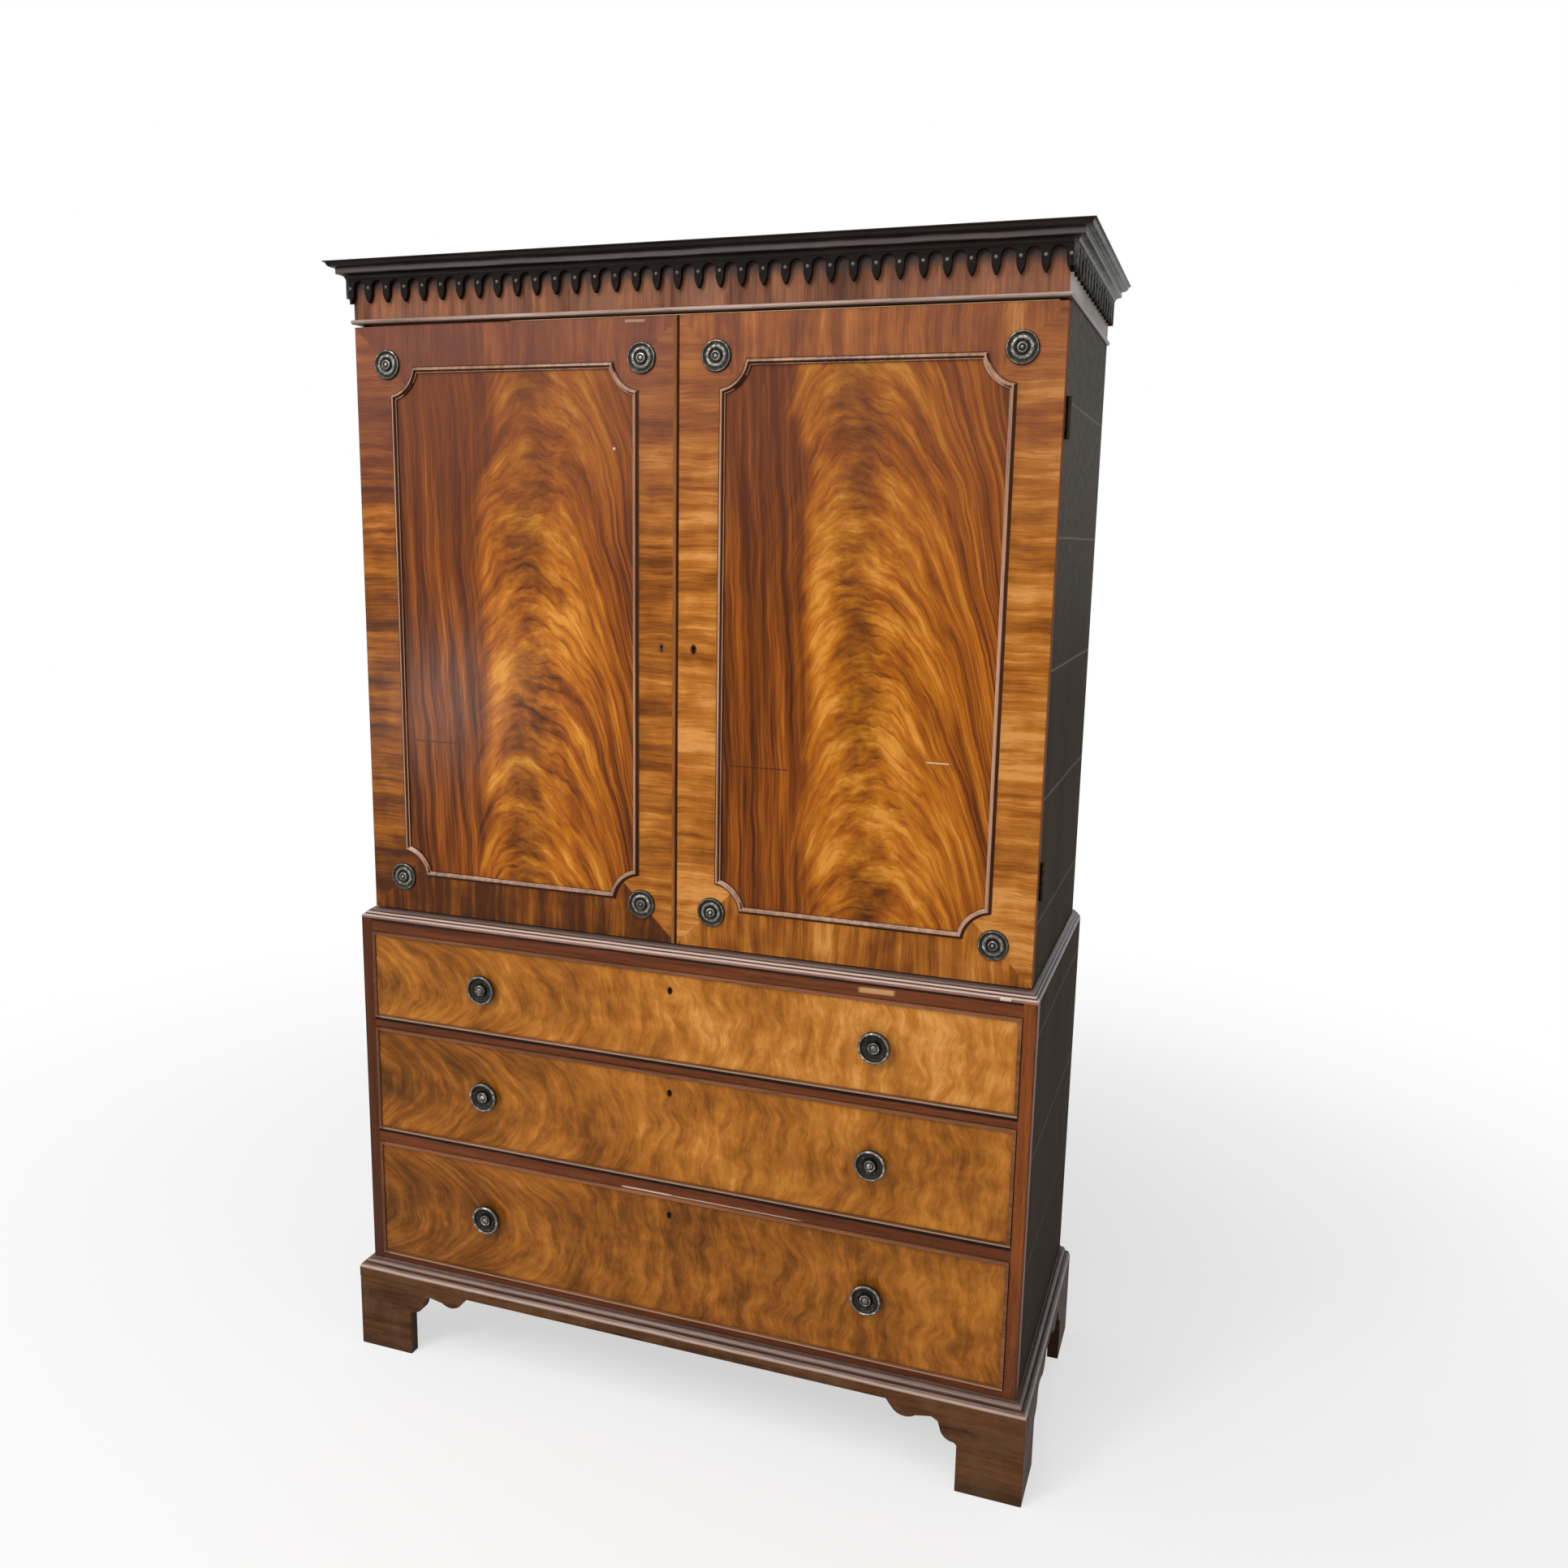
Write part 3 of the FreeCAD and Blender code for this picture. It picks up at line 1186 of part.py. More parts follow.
def drawer_cockbead(name, low, high):
    """Thin beads let in round the edge of a drawer front, the top one slotted for the bolt."""
    half = opening_half - d.drawer_clearance
    low, high = low + d.drawer_clearance, high - d.drawer_clearance
    deep = (drawer_face - d.cockbead_reach, drawer_face + d.front_thickness)
    bottom = board(name + "_bead_bottom", (-half, half), deep, (low, low + d.cockbead))
    top = board(name + "_bead_top", (-half, half), deep, (high - d.cockbead, high))
    slot = board(name + "_bead_slot", around(ZERO, d.bolt_width / 2 + d.bolt_play * 2),
                 (bolt_y - d.bolt_play * 2, bolt_y + d.bolt_thickness + d.bolt_play * 2),
                 (high - d.cockbead, high))
    sides = [board("%s_bead_side_%d" % (name, side),
                   mirrored_span(side, half - d.cockbead, half), deep,
                   (low + d.cockbead, high - d.cockbead)) for side in (LEFT, RIGHT)]
    node(name + "_cockbead", bottom, cut(name + "_bead_top_cut", top, slot), *sides)


def drawer_box(name, low, high):
    """Sides, back and bottom of a drawer."""
    half, wall = opening_half - d.drawer_clearance, d.drawer_side
    front, rear = drawer_face + d.front_thickness, back_inside - d.drawer_tail
    low = low + d.drawer_lift
    inside = (-(half - wall), half - wall)
    floor = low + d.bottom_rise
    sides = [board("%s_side_%d" % (name, side), mirrored_span(side, half - wall, half),
                   (front, rear), (low, high - d.side_headroom)) for side in (LEFT, RIGHT)]
    bottom = board(name + "_bottom", inside, (front, rear), (floor, floor + d.drawer_bottom))
    rear_wall = board(name + "_back", inside, (rear - wall, rear),
                      (floor + d.drawer_bottom, high - d.back_headroom))
    node(name + "_box", *sides, bottom, rear_wall)


# ---------------------------------------------------------------- assembly
def build():
    front_foot()
    rear_feet()
    base_moulding()
    drawer_case()
    drawer_supports()
    waist_moulding()
    door_case()
    tray_runners()
    cornice_frame()
    frieze_bead()
    arcade_moulding()
    crown_moulding()
    hinges()
    for side, door in ((LEFT, "door_left"), (RIGHT, "door_right")):
        door_frame(side, door)
        door_panel(side, door)
        paterae(side, door)
    door_mouldings()
    door_lock()
    door_bolts()
    for name, low, high in DRAWERS:
        drawer_front(name, low, high)
        drawer_cockbead(name, low, high)
        drawer_box(name, low, high)
        drawer_knobs(name, low, high)
        drawer_lock(name, high)
    for index in range(TRAYS):
        tray(index)
    doc.recompute()


def check():
    """Stop unless every object is sound and every sub-part is a valid shape."""
    for item in doc.Objects:
        if "Invalid" in item.State or "Error" in item.State:
            raise RuntimeError("%s failed: %s" % (item.Name, item.State))
    for name, piece in nodes.items():
        if piece.Shape.isNull() or not piece.Shape.isValid() or not piece.Shape.Solids:
            raise RuntimeError("%s has no valid solid" % name)


def write():
    os.makedirs("parts", exist_ok=True)
    for name, piece in nodes.items():
        piece.Shape.exportStep(os.path.join("parts", name + ".step"))


build()
check()
write()
print("%d sub-parts written" % len(nodes))
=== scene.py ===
import logging
import math
from collections import Counter
from dataclasses import dataclass, field
from enum import Enum
from typing import Callable, Sequence

import bmesh
import bpy
from mathutils import Matrix, Vector


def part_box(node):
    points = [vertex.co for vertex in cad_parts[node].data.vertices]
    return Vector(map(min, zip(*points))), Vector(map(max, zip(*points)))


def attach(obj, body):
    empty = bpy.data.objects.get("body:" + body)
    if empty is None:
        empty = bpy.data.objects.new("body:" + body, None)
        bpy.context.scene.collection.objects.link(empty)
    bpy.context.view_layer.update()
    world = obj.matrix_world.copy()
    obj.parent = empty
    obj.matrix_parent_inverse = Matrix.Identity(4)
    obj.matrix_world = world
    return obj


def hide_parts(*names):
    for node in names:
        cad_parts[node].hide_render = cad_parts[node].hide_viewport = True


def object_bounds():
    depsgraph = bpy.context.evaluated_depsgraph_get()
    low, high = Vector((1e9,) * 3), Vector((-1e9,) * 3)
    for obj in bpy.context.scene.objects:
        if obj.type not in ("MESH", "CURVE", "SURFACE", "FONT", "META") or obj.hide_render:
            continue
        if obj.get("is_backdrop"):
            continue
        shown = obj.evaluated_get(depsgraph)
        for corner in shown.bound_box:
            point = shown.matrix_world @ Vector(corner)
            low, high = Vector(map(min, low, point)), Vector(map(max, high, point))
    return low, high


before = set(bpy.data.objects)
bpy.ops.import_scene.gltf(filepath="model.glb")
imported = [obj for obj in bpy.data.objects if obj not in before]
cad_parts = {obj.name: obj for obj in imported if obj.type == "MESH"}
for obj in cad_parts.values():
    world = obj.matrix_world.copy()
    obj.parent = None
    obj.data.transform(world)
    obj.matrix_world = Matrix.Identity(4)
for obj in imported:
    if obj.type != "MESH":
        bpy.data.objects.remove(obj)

# A mahogany linen press: panelled doors over long drawers.  Metres, in the frame of the parts.

Colour = tuple[float, float, float]
Point = tuple[float, float, float]
Pair = tuple[float, float]

log = logging.getLogger("linen_press")
MM = 0.001
GRAIN_RELIEF = 0.12 * MM
POLISH_RELIEF = 0.10 * MM
VENEER_GLOSS = 0.11


# ------------------------------------------------------------------ shader expressions
def operation(kind: str, flipped: bool = False) -> "Callable[[Wire, Wire | float], Wire]":
    """Operator of Wire that adds one Math node.

    Args:
        kind: the node's operation.
        flipped: whether the wire comes second, after a number.

    Returns:
        The method.
    """
    def apply(wire: "Wire", other: "Wire | float") -> "Wire":
        """Join the wire and the other value by the node."""
        return wire.tree.math(kind, *((other, wire) if flipped else (wire, other)))
    return apply


class Wire:
    """An output socket that takes part in expressions; each operator adds its Math node."""

    def __init__(self, tree: "Tree", socket: bpy.types.NodeSocket) -> None:
        """Keep the tree that new nodes go into and the socket itself."""
        self.tree = tree
        self.socket = socket

    def __abs__(self) -> "Wire":
        """Absolute value."""
        return self.tree.math("ABSOLUTE", self)

    def __neg__(self) -> "Wire":
        """Negative."""
        return self * -1.0

    __add__ = operation("ADD")
    __radd__ = operation("ADD", flipped=True)
    __sub__ = operation("SUBTRACT")
    __rsub__ = operation("SUBTRACT", flipped=True)
    __mul__ = operation("MULTIPLY")
    __rmul__ = operation("MULTIPLY", flipped=True)
    __truediv__ = operation("DIVIDE")
    __rtruediv__ = operation("DIVIDE", flipped=True)
    __pow__ = operation("POWER")
    __rpow__ = operation("POWER", flipped=True)


Value = Wire | float


class Tree:
    """A node tree, its nodes added by one method and joined by expressions."""

    def __init__(self, tree: bpy.types.NodeTree) -> None:
        """Keep the tree itself."""
        self.tree = tree

    def node(self, kind: str, inputs: dict | None = None, pick: int | str = 0,
             stops: Sequence[tuple[float, Colour]] = (), **settings: object) -> Wire:
        """Add a node.

        Args:
            kind: the node's type.
            inputs: values or wires by socket name or number.
            pick: the output that is returned.
            stops: positions and colours of a colour ramp.
            settings: the node's own settings, set before its sockets.

        Returns:
            The chosen output.
        """
        made = self.tree.nodes.new(kind)
        for key, value in settings.items():
            setattr(made, key, value)
        for number, (position, colour) in enumerate(stops):
            elements = made.color_ramp.elements
            if number == 0:
                elements.remove(elements[1])
            element = elements.new(position) if number else elements[0]
            element.position = position
            element.color = (*colour, 1)
        for key, value in (inputs or {}).items():
            self.feed(made.inputs[key], value)
        return Wire(self, made.outputs[pick])

    def feed(self, socket: bpy.types.NodeSocket, value: object) -> None:
        """Link a wire to a socket, or set the socket's own value.

        Args:
            socket: the socket that is fed.
            value: a wire, or the value to set.
        """
        if isinstance(value, Wire):
            self.tree.links.new(value.socket, socket)
        elif socket.type == "RGBA" and len(value) == 3:
            socket.default_value = (*value, 1)
        else:
            socket.default_value = value

    def math(self, kind: str, *values: Value) -> Wire:
        """Add a Math node on wires and numbers."""
        return self.node("ShaderNodeMath", dict(enumerate(values)), operation=kind)

    def seen(self) -> Wire:
        """Tell the rays that end in the eye from all others.

        Returns:
            1 for rays of the camera, of a mirror image or of a view through glass.
        """
        seen, *others = (self.node("ShaderNodeLightPath", pick=f"Is {ray} Ray")
                         for ray in ("Camera", "Glossy", "Transmission"))
        for other in others:
            seen = self.math("MAXIMUM", seen, other)
        return seen


class Graph(Tree):
    """The nodes of one material."""

    def __init__(self, name: str) -> None:
        """Make the material with its shader, and read the object's own coordinates.

        Args:
            name: name of the material.
        """
        self.material = bpy.data.materials.new(name)
        self.material.use_nodes = True
        super().__init__(self.material.node_tree)
        self.shader = self.tree.nodes["Principled BSDF"]
        self.place = self.node("ShaderNodeTexCoord", pick="Object")
        self.x, self.y, self.z = self.split(self.place)

    def spot(self, x: Value, y: Value = 0.0, z: Value = 0.0) -> Wire:
        """Vector made of three values."""
        return self.node("ShaderNodeCombineXYZ", {0: x, 1: y, 2: z})

    def split(self, vector: Wire) -> tuple[Wire, ...]:
        """The three values of a vector."""
        parts = self.node("ShaderNodeSeparateXYZ", {"Vector": vector}).socket.node
        return tuple(Wire(self, out) for out in parts.outputs)

    def noise(self, spot: Wire, scale: float = 1.0, detail: float = 2.0,
              rough: float = 0.5, flat: bool = False) -> Wire:
        """Smooth noise.

        Args:
            spot: where it is read.
            scale: number of its cells in a unit of the spot.
            detail: number of finer layers.
            rough: weight of each finer layer.
            flat: whether only the first two coordinates count.

        Returns:
            Noise about 0.5.
        """
        return self.node("ShaderNodeTexNoise", {
            "Vector": spot, "Scale": scale, "Detail": detail, "Roughness": rough},
            noise_dimensions="2D" if flat else "3D")

    def cloud(self, spot: tuple[Value, ...], detail: float = 2.0, rough: float = 0.5,
              scale: float = 1.0) -> Wire:
        """Smooth noise about 0.5 at a spot given by two or three values."""
        return self.noise(self.spot(*spot), scale, detail, rough, flat=len(spot) < 3)

    def layers(self, *layers: tuple[Wire, float]) -> Wire:
        """Sum of noises about their middles, each times its weight."""
        first, *rest = ((layer - 0.5) * weight for layer, weight in layers)
        return sum(rest, first)

    def step(self, value: Value, low: float, high: float) -> Wire:
        """Smooth step, which falls where high is below low.

        Args:
            value: what is stepped.
            low: the value at which it is 0.
            high: the value at which it is 1.

        Returns:
            The step, from 0 to 1.
        """
        return self.node("ShaderNodeMapRange", {
            "Value": value, "From Min": low, "From Max": high},
            interpolation_type="SMOOTHSTEP")

    def mix(self, factor: Value, first: Wire | Colour, second: Wire | Colour,
            mode: str = "MIX") -> Wire:
        """Blend two colours."""
        return self.node("ShaderNodeMix", {0: factor, 6: first, 7: second}, pick=2,
                         data_type="RGBA", blend_type=mode)

    def ramp(self, value: Value, colours: Sequence[Colour],
             places: Sequence[float] = (0.0, 0.25, 0.5, 0.75, 1.0)) -> Wire:
        """Colour read from a row of stops at the given places."""
        return self.node("ShaderNodeValToRGB", {"Fac": value}, stops=tuple(zip(places, colours)))

    def disc(self, centre: Pair, radius: float, squeeze: float = 1.0) -> Wire:
        """Mask of a soft-edged disc on an upright face, squeezed in height where asked."""
        dx, dz = self.x - centre[0], (self.z - centre[1]) * squeeze
        return self.step(self.math("SQRT", dx * dx + dz * dz), radius * 1.15, radius * 0.8)

    def bare_wood(self, colour: Wire, face: float) -> Wire:
        """Plain brown wood behind a veneered face.

        Args:
            colour: colour of the veneer.
            face: plane of the veneered face.

        Returns:
            The colour, with bare wood from 2 mm behind the face.
        """
        streak = self.cloud((self.x * 70, self.z * 2.5, self.y * 70), 4, 0.6)
        broad = self.cloud((self.x * 7, self.z * 1.1))
        wood = self.mix(streak * 0.7 + broad * 0.9 - 0.3, (0.060, 0.021, 0.010),
                        (0.190, 0.078, 0.036))
        return self.mix(self.step(self.y, face + 2 * MM, face + 3 * MM), colour, wood)

    def bump(self, height: Wire, depth: float) -> None:
        """Raise the surface by a height of 0 to 1 times a depth in metres."""
        self.feed(self.shader.inputs["Normal"], self.node(
            "ShaderNodeBump", {"Strength": 1.0, "Distance": depth, "Height": height}))

    def finish(self, colour: Wire | Colour, roughness: Value,
               **fixed: object) -> bpy.types.Material:
        """Feed the shader.

        Args:
            colour: base colour.
            roughness: roughness.
            fixed: other shader sockets by name, with underscores for spaces.

        Returns:
            The material.
        """
        self.feed(self.shader.inputs["Base Color"], colour)
        self.feed(self.shader.inputs["Roughness"], roughness)
        for key, value in fixed.items():
            self.feed(self.shader.inputs[key.replace("_", " ")], value)
        return self.material


class Axis(Enum):
    """Direction in which the grain of a board runs."""

    X = (0.05, 1.0, 1.0)
    Y = (1.0, 0.05, 1.0)
    Z = (1.0, 1.0, 0.05)


# ------------------------------------------------------------------ finishes
@dataclass(frozen=True)
class Line:
    """A straight mark on a board: a pale rubbed line, a scratch, old wax in a groove, or a
    painted highlight or painted shadow line.
    """

    level: float
    half_width: float
    colour: Colour
    strength: float = 0.8
    span: Pair | None = None

    def over(self, g: Graph, colour: Wire) -> Wire:
        """Lay the mark over a colour.

        Args:
            g: the graph.
            colour: the colour so far.

        Returns:
            The colour with the mark.
        """
        run = g.x + g.y
        wander = (g.cloud((run, self.level), scale=9) - 0.5) * self.half_width
        mask = g.step(abs(g.z + wander - self.level), self.half_width * 1.3,
                      self.half_width * 0.6)
        patchy = g.cloud((run, g.z, self.level), 3, scale=30) * 0.5 + 0.6
        if self.span:
            middle, half = sum(self.span) / 2, (self.span[1] - self.span[0]) / 2
            mask = mask * g.step(abs(g.x - middle), half, half * 0.8)
        return g.mix(mask * patchy * self.strength, colour, self.colour)


@dataclass(frozen=True)
class Shade:
    """A stain, haze or bare place, or a painted shade or painted reflection, that fills a region
    with soft edges.
    """

    bounds: tuple[tuple[str, float, float], ...]
    colour: Colour
    strength: float = 0.9
    patchy: float = 0.0

    def over(self, g: Graph, colour: Wire) -> Wire:
        """Lay the shade over a colour.

        Args:
            g: the graph.
            colour: the colour so far.

        Returns:
            The colour with the shade.
        """
        places = {"x": g.x, "side": abs(g.x), "y": g.y, "z": g.z}
        mask: Value = self.strength
        for place, clear, full in self.bounds:
            mask = g.step(places[place], clear, full) * mask
        if self.patchy:
            cloud = g.step(g.noise(g.place, 55, 4, 0.6), 0.35, 0.65)
            mask = mask * (cloud * self.patchy + (1 - self.patchy))
        return g.mix(mask, colour, self.colour)


@dataclass(frozen=True)
class SolidWood:
    """Straight-grained solid wood, from bare pine to dark waxed mahogany."""

    name: str
    grain: Axis
    dark: Colour
    light: Colour
    figure: float = 1.0
    roughness: float = 0.42
    gloss: float = 0.20
    dust: Colour = (0.30, 0.27, 0.24)
    dust_amount: float = 0.0
    marks: tuple[Line | Shade, ...] = ()

    def make(self) -> bpy.types.Material:
        """Build the material.

        Returns:
            The material.
        """
        g = Graph(self.name)
        grain = g.node("ShaderNodeVectorMath", {0: g.place, 1: self.grain.value},
                       operation="MULTIPLY")
        broad = g.noise(grain, 11, 3, 0.55)
        streak = g.noise(grain, 95, 3, 0.6)
        pores = g.step(g.noise(grain, 640, 1, 0.5), 0.57, 0.72)
        tone = g.layers((broad, 1.8 * self.figure), (streak, 1.4 * self.figure)) + 0.5
        tone = g.math("MINIMUM", g.math("MAXIMUM", tone, 0.0), 1.0)
        colour = g.mix(tone, self.dark, self.light)
        colour = g.mix(pores * 0.45, colour, tuple(c * 0.4 for c in self.dark))
        rough: Value = streak * 0.16 + (self.roughness - 0.08)
        if self.dust_amount:
            # Patches of dust, with no painted shade.
            bloom_and_painted_shade = g.step(g.noise(g.place, 14, 5, 0.62), 0.40, 0.70)
            colour = g.mix(bloom_and_painted_shade * self.dust_amount, colour, self.dust)
            rough = rough + bloom_and_painted_shade * 0.22 * self.dust_amount
        for mark in self.marks:
            colour = mark.over(g, colour)
        g.bump(streak * 0.6 - pores * 0.6, GRAIN_RELIEF)
        return g.finish(colour, rough, Specular_IOR_Level=self.gloss)


@dataclass(frozen=True)
class FlameVeneer:
    """Crotch-cut veneer: nested arches that fall away from a mottled spine."""

    name: str
    spine: float
    lean: float
    seed: float
    tones: tuple[float, float, float]
    marks: tuple[Line | Shade, ...]
    shaded: float = 0.08
    bloom_and_painted_shade: float = 0.45
    left_fall: Pair = (7.0, 195.0)
    right_fall: Pair = (5.0, 79.0)
    face: float = -0.2352
    colours: tuple[Colour, ...] = (
        (0.058, 0.012, 0.001), (0.145, 0.034, 0.002), (0.275, 0.070, 0.004),
        (0.425, 0.134, 0.008), (0.590, 0.240, 0.034))

    def make(self) -> bpy.types.Material:
        """Build the material.

        Returns:
            The material.
        """
        g = Graph(self.name)
        seed = self.seed
        left_tone, middle_tone, right_tone = self.tones
        meander = (g.cloud((g.z, seed), scale=3) - 0.5) * 0.05
        u = g.x - self.spine - (g.z - 1.45) * self.lean - meander
        left = g.math("MAXIMUM", -u, 0.0)
        right = g.math("MAXIMUM", u, 0.0)
        arms = (left ** 2.0 * self.left_fall[0] + left ** 4.0 * self.left_fall[1]
                + right ** 2.0 * self.right_fall[0] + right ** 4.0 * self.right_fall[1])
        bend = (g.cloud((g.x, g.z * 0.55, seed), 3, scale=6) - 0.5) * 0.13
        ripple = (g.cloud((g.x, g.z, seed), scale=38) - 0.5) * 0.012
        run = g.z + arms + bend + ripple
        edge = (g.cloud((g.z * 5, u * 3 + seed), 3) - 0.5) * 0.09
        far_left = g.step(u + edge, -0.070, -0.130)
        far_right = g.step(u + edge, 0.10, 0.22)
        zones = g.cloud((run * 8, u * 5 + seed), 3, 0.55)
        bands = g.cloud((run * 26, u * 15 + seed), 4, 0.6)
        fine = g.cloud((run * 105, u * 30 + seed), 3, 0.6)
        tone = g.layers((zones, 1.05), (bands, 1.35), (fine, 0.50))
        slant = g.x + g.z * 0.05 + (g.cloud((g.x, g.z, seed), scale=5) - 0.5) * 0.03
        strand = g.cloud((slant * 62, g.z * 2.2, seed), 4, 0.62)
        hair = g.cloud((slant * 230, g.z * 5.5, seed), 3, 0.6)
        streaks = g.layers((strand, 1.95), (hair, 0.95))
        tone = tone + far_left * 0.85 * (streaks - tone)
        tone = tone - far_left * (1 - far_left) * 0.55
        ring = g.math("FRACT", run * 36 + zones * 3.0)
        ring = (1 - ring) ** 5.0 * g.step(g.cloud((run * 5, u * 6 + 3.0)), 0.38, 0.62)
        height = g.step(g.z, 1.40, 1.93)
        tone = tone + middle_tone - far_left * (middle_tone - left_tone)
        tone = tone - far_right * (middle_tone - right_tone) - height * self.shaded
        near = g.step(abs(u), 0.055, 0.010)
        mottle = g.cloud((g.x * 24, g.z * 56, seed), 4, 0.6)
        spots = g.step(g.cloud((g.z * 7, seed), 3, 0.55), 0.30, 0.60)
        cross = g.cloud((g.x * 9, g.z * 115, seed))
        tone = tone - near * (mottle * 0.24 * spots + 0.07) - ring * 0.30 * (1 - far_left)
        tone = tone + near * g.layers((cross, 0.30), (mottle, 0.35))
        colour = g.ramp(tone, self.colours)
        olive = g.mix(1.0, colour, (0.80, 0.92, 0.85), "MULTIPLY")
        colour = g.mix(near * spots * 0.8, colour, olive)
        # Towards the top, a muted haze in the polish and painted shade under the cornice.
        colour = g.mix(height * self.bloom_and_painted_shade, colour, (0.150, 0.054, 0.032))
        pores = g.step(g.cloud((run * 420, u * 60 + seed), 1), 0.60, 0.74)
        colour = g.mix(pores * 0.25, colour, (0.060, 0.018, 0.005))
        for mark in self.marks:
            colour = mark.over(g, colour)
        colour = g.bare_wood(colour, self.face)
        g.bump(bands * 0.7 + mottle * 0.3, GRAIN_RELIEF)
        return g.finish(colour, mottle * 0.08 + 0.20, Specular_IOR_Level=VENEER_GLOSS)


@dataclass(frozen=True)
class Crossband:
    """Veneer laid across the door's stiles and rails, mitred at the corners."""

    name: str = "crossband_veneer"
    face: float = -0.2372
    inner: float = 0.001
    outer: float = 0.635
    low: float = 0.9155
    high: float = 1.991
    leaf: float = 0.135
    # A painted highlight on the top rail of the left door.
    top_rail_glint: Line = Line(1.9848, 0.0022, (0.42, 0.27, 0.18), 0.7, (-0.100, -0.060))
    keyholes: tuple[tuple[Pair, Colour], ...] = (
        ((-0.030, 1.443), (0.105, 0.058, 0.030)), ((0.030, 1.443), (0.030, 0.014, 0.007)))
    colours: tuple[Colour, ...] = (
        (0.060, 0.015, 0.002), (0.140, 0.037, 0.003), (0.262, 0.078, 0.007),
        (0.400, 0.136, 0.017), (0.570, 0.245, 0.058))

    def make(self) -> bpy.types.Material:
        """Build the material.

        Returns:
            The material.
        """
        g = Graph(self.name)
        half_x, half_z = (self.outer - self.inner) / 2, (self.high - self.low) / 2
        across = abs(abs(g.x) - (self.inner + half_x)) - half_x
        up = abs(g.z - (self.low + half_z)) - half_z
        side = g.step(g.x, -0.0005, 0.0005)
        rail = g.step(up - across, -0.0004, 0.0004)
        along = g.mix(rail, g.spot(g.z, g.x), g.spot(g.x, g.z))
        length, width, _ = g.split(along)
        seed = rail * 3.7 + side * 9.1 + g.step(g.x, -0.1, -0.5) * 4.3 * (1 - rail)
        bend = (g.cloud((length * 8, width * 14, seed)) - 0.5) * 0.014
        run = length + bend
        cut = g.cloud((length * 2.2, seed), 1) * 1.6
        leaf = g.math("FLOOR", length / self.leaf + seed + cut)
        leaf_tone = g.node("ShaderNodeTexWhiteNoise", {"W": leaf}, noise_dimensions="1D")
        broad = g.cloud((run * 19, width * 3 + seed))
        lines = g.cloud((run * 74, width * 5 + seed), 3, 0.55)
        fine = g.cloud((run * 260, width * 13 + seed), 2, 0.6)
        silk = g.cloud((run * 22, width * 26 + seed))
        tone = g.layers((broad, 0.95), (lines, 0.82), (fine, 0.42), (silk, 0.36),
                        (leaf_tone, 0.22))
        outer = g.step(g.x, -0.1, -0.5)
        stile = side * 0.40 + 0.34 + (1 - outer) * (1 - side) * 0.20
        stile = stile + (1.45 - g.z) * side * 0.16
        stile = stile + outer * (1 - side) * (g.step(g.z, 1.15, 1.45) * 0.16 - 0.12)
        tall = g.step(g.z, 1.1, 1.8)
        rails = side * 0.40 + 0.15 + tall * 0.05 * (1 - side) - tall * side * 0.08
        tone = tone + stile + rail * (rails - stile)
        # Darker and greyer towards the top: a haze in the polish and painted shade under the
        # cornice.
        tone = tone - g.step(g.z, 1.70, 1.98) * 0.08 * (1 - rail)
        colour = g.ramp(tone, self.colours)
        bloom_and_painted_shade = g.step(g.z, 1.50, 1.985) * (0.58 - side * 0.14)
        colour = g.mix(bloom_and_painted_shade, colour, (0.172, 0.066, 0.052))
        pores = g.step(g.cloud((run * 520, width * 50), 1), 0.60, 0.74)
        colour = g.mix(pores * 0.22, colour, (0.055, 0.018, 0.006))
        mitre = g.step(abs(up - across), 0.0009, 0.0002)
        colour = g.mix(mitre * 0.12, colour, (0.045, 0.016, 0.008))
        edge = g.step(across, -0.0016, -0.0004)
        colour = g.mix(edge * 0.55 * (1 - rail), colour, (0.085, 0.026, 0.008))
        colour = self.top_rail_glint.over(g, colour)
        for centre, stain in self.keyholes:
            colour = g.mix(g.disc(centre, 5.8 * MM, 0.66), colour, stain)
        colour = g.bare_wood(colour, self.face)
        g.bump(lines * 0.7 + fine * 0.3, POLISH_RELIEF)
        cut_edge = g.step(abs(g.x), self.outer - 0.4 * MM, self.outer - 0.1 * MM)
        return g.finish(colour, fine * 0.10 + 0.22 + cut_edge * 0.5,
                        Specular_IOR_Level=VENEER_GLOSS)


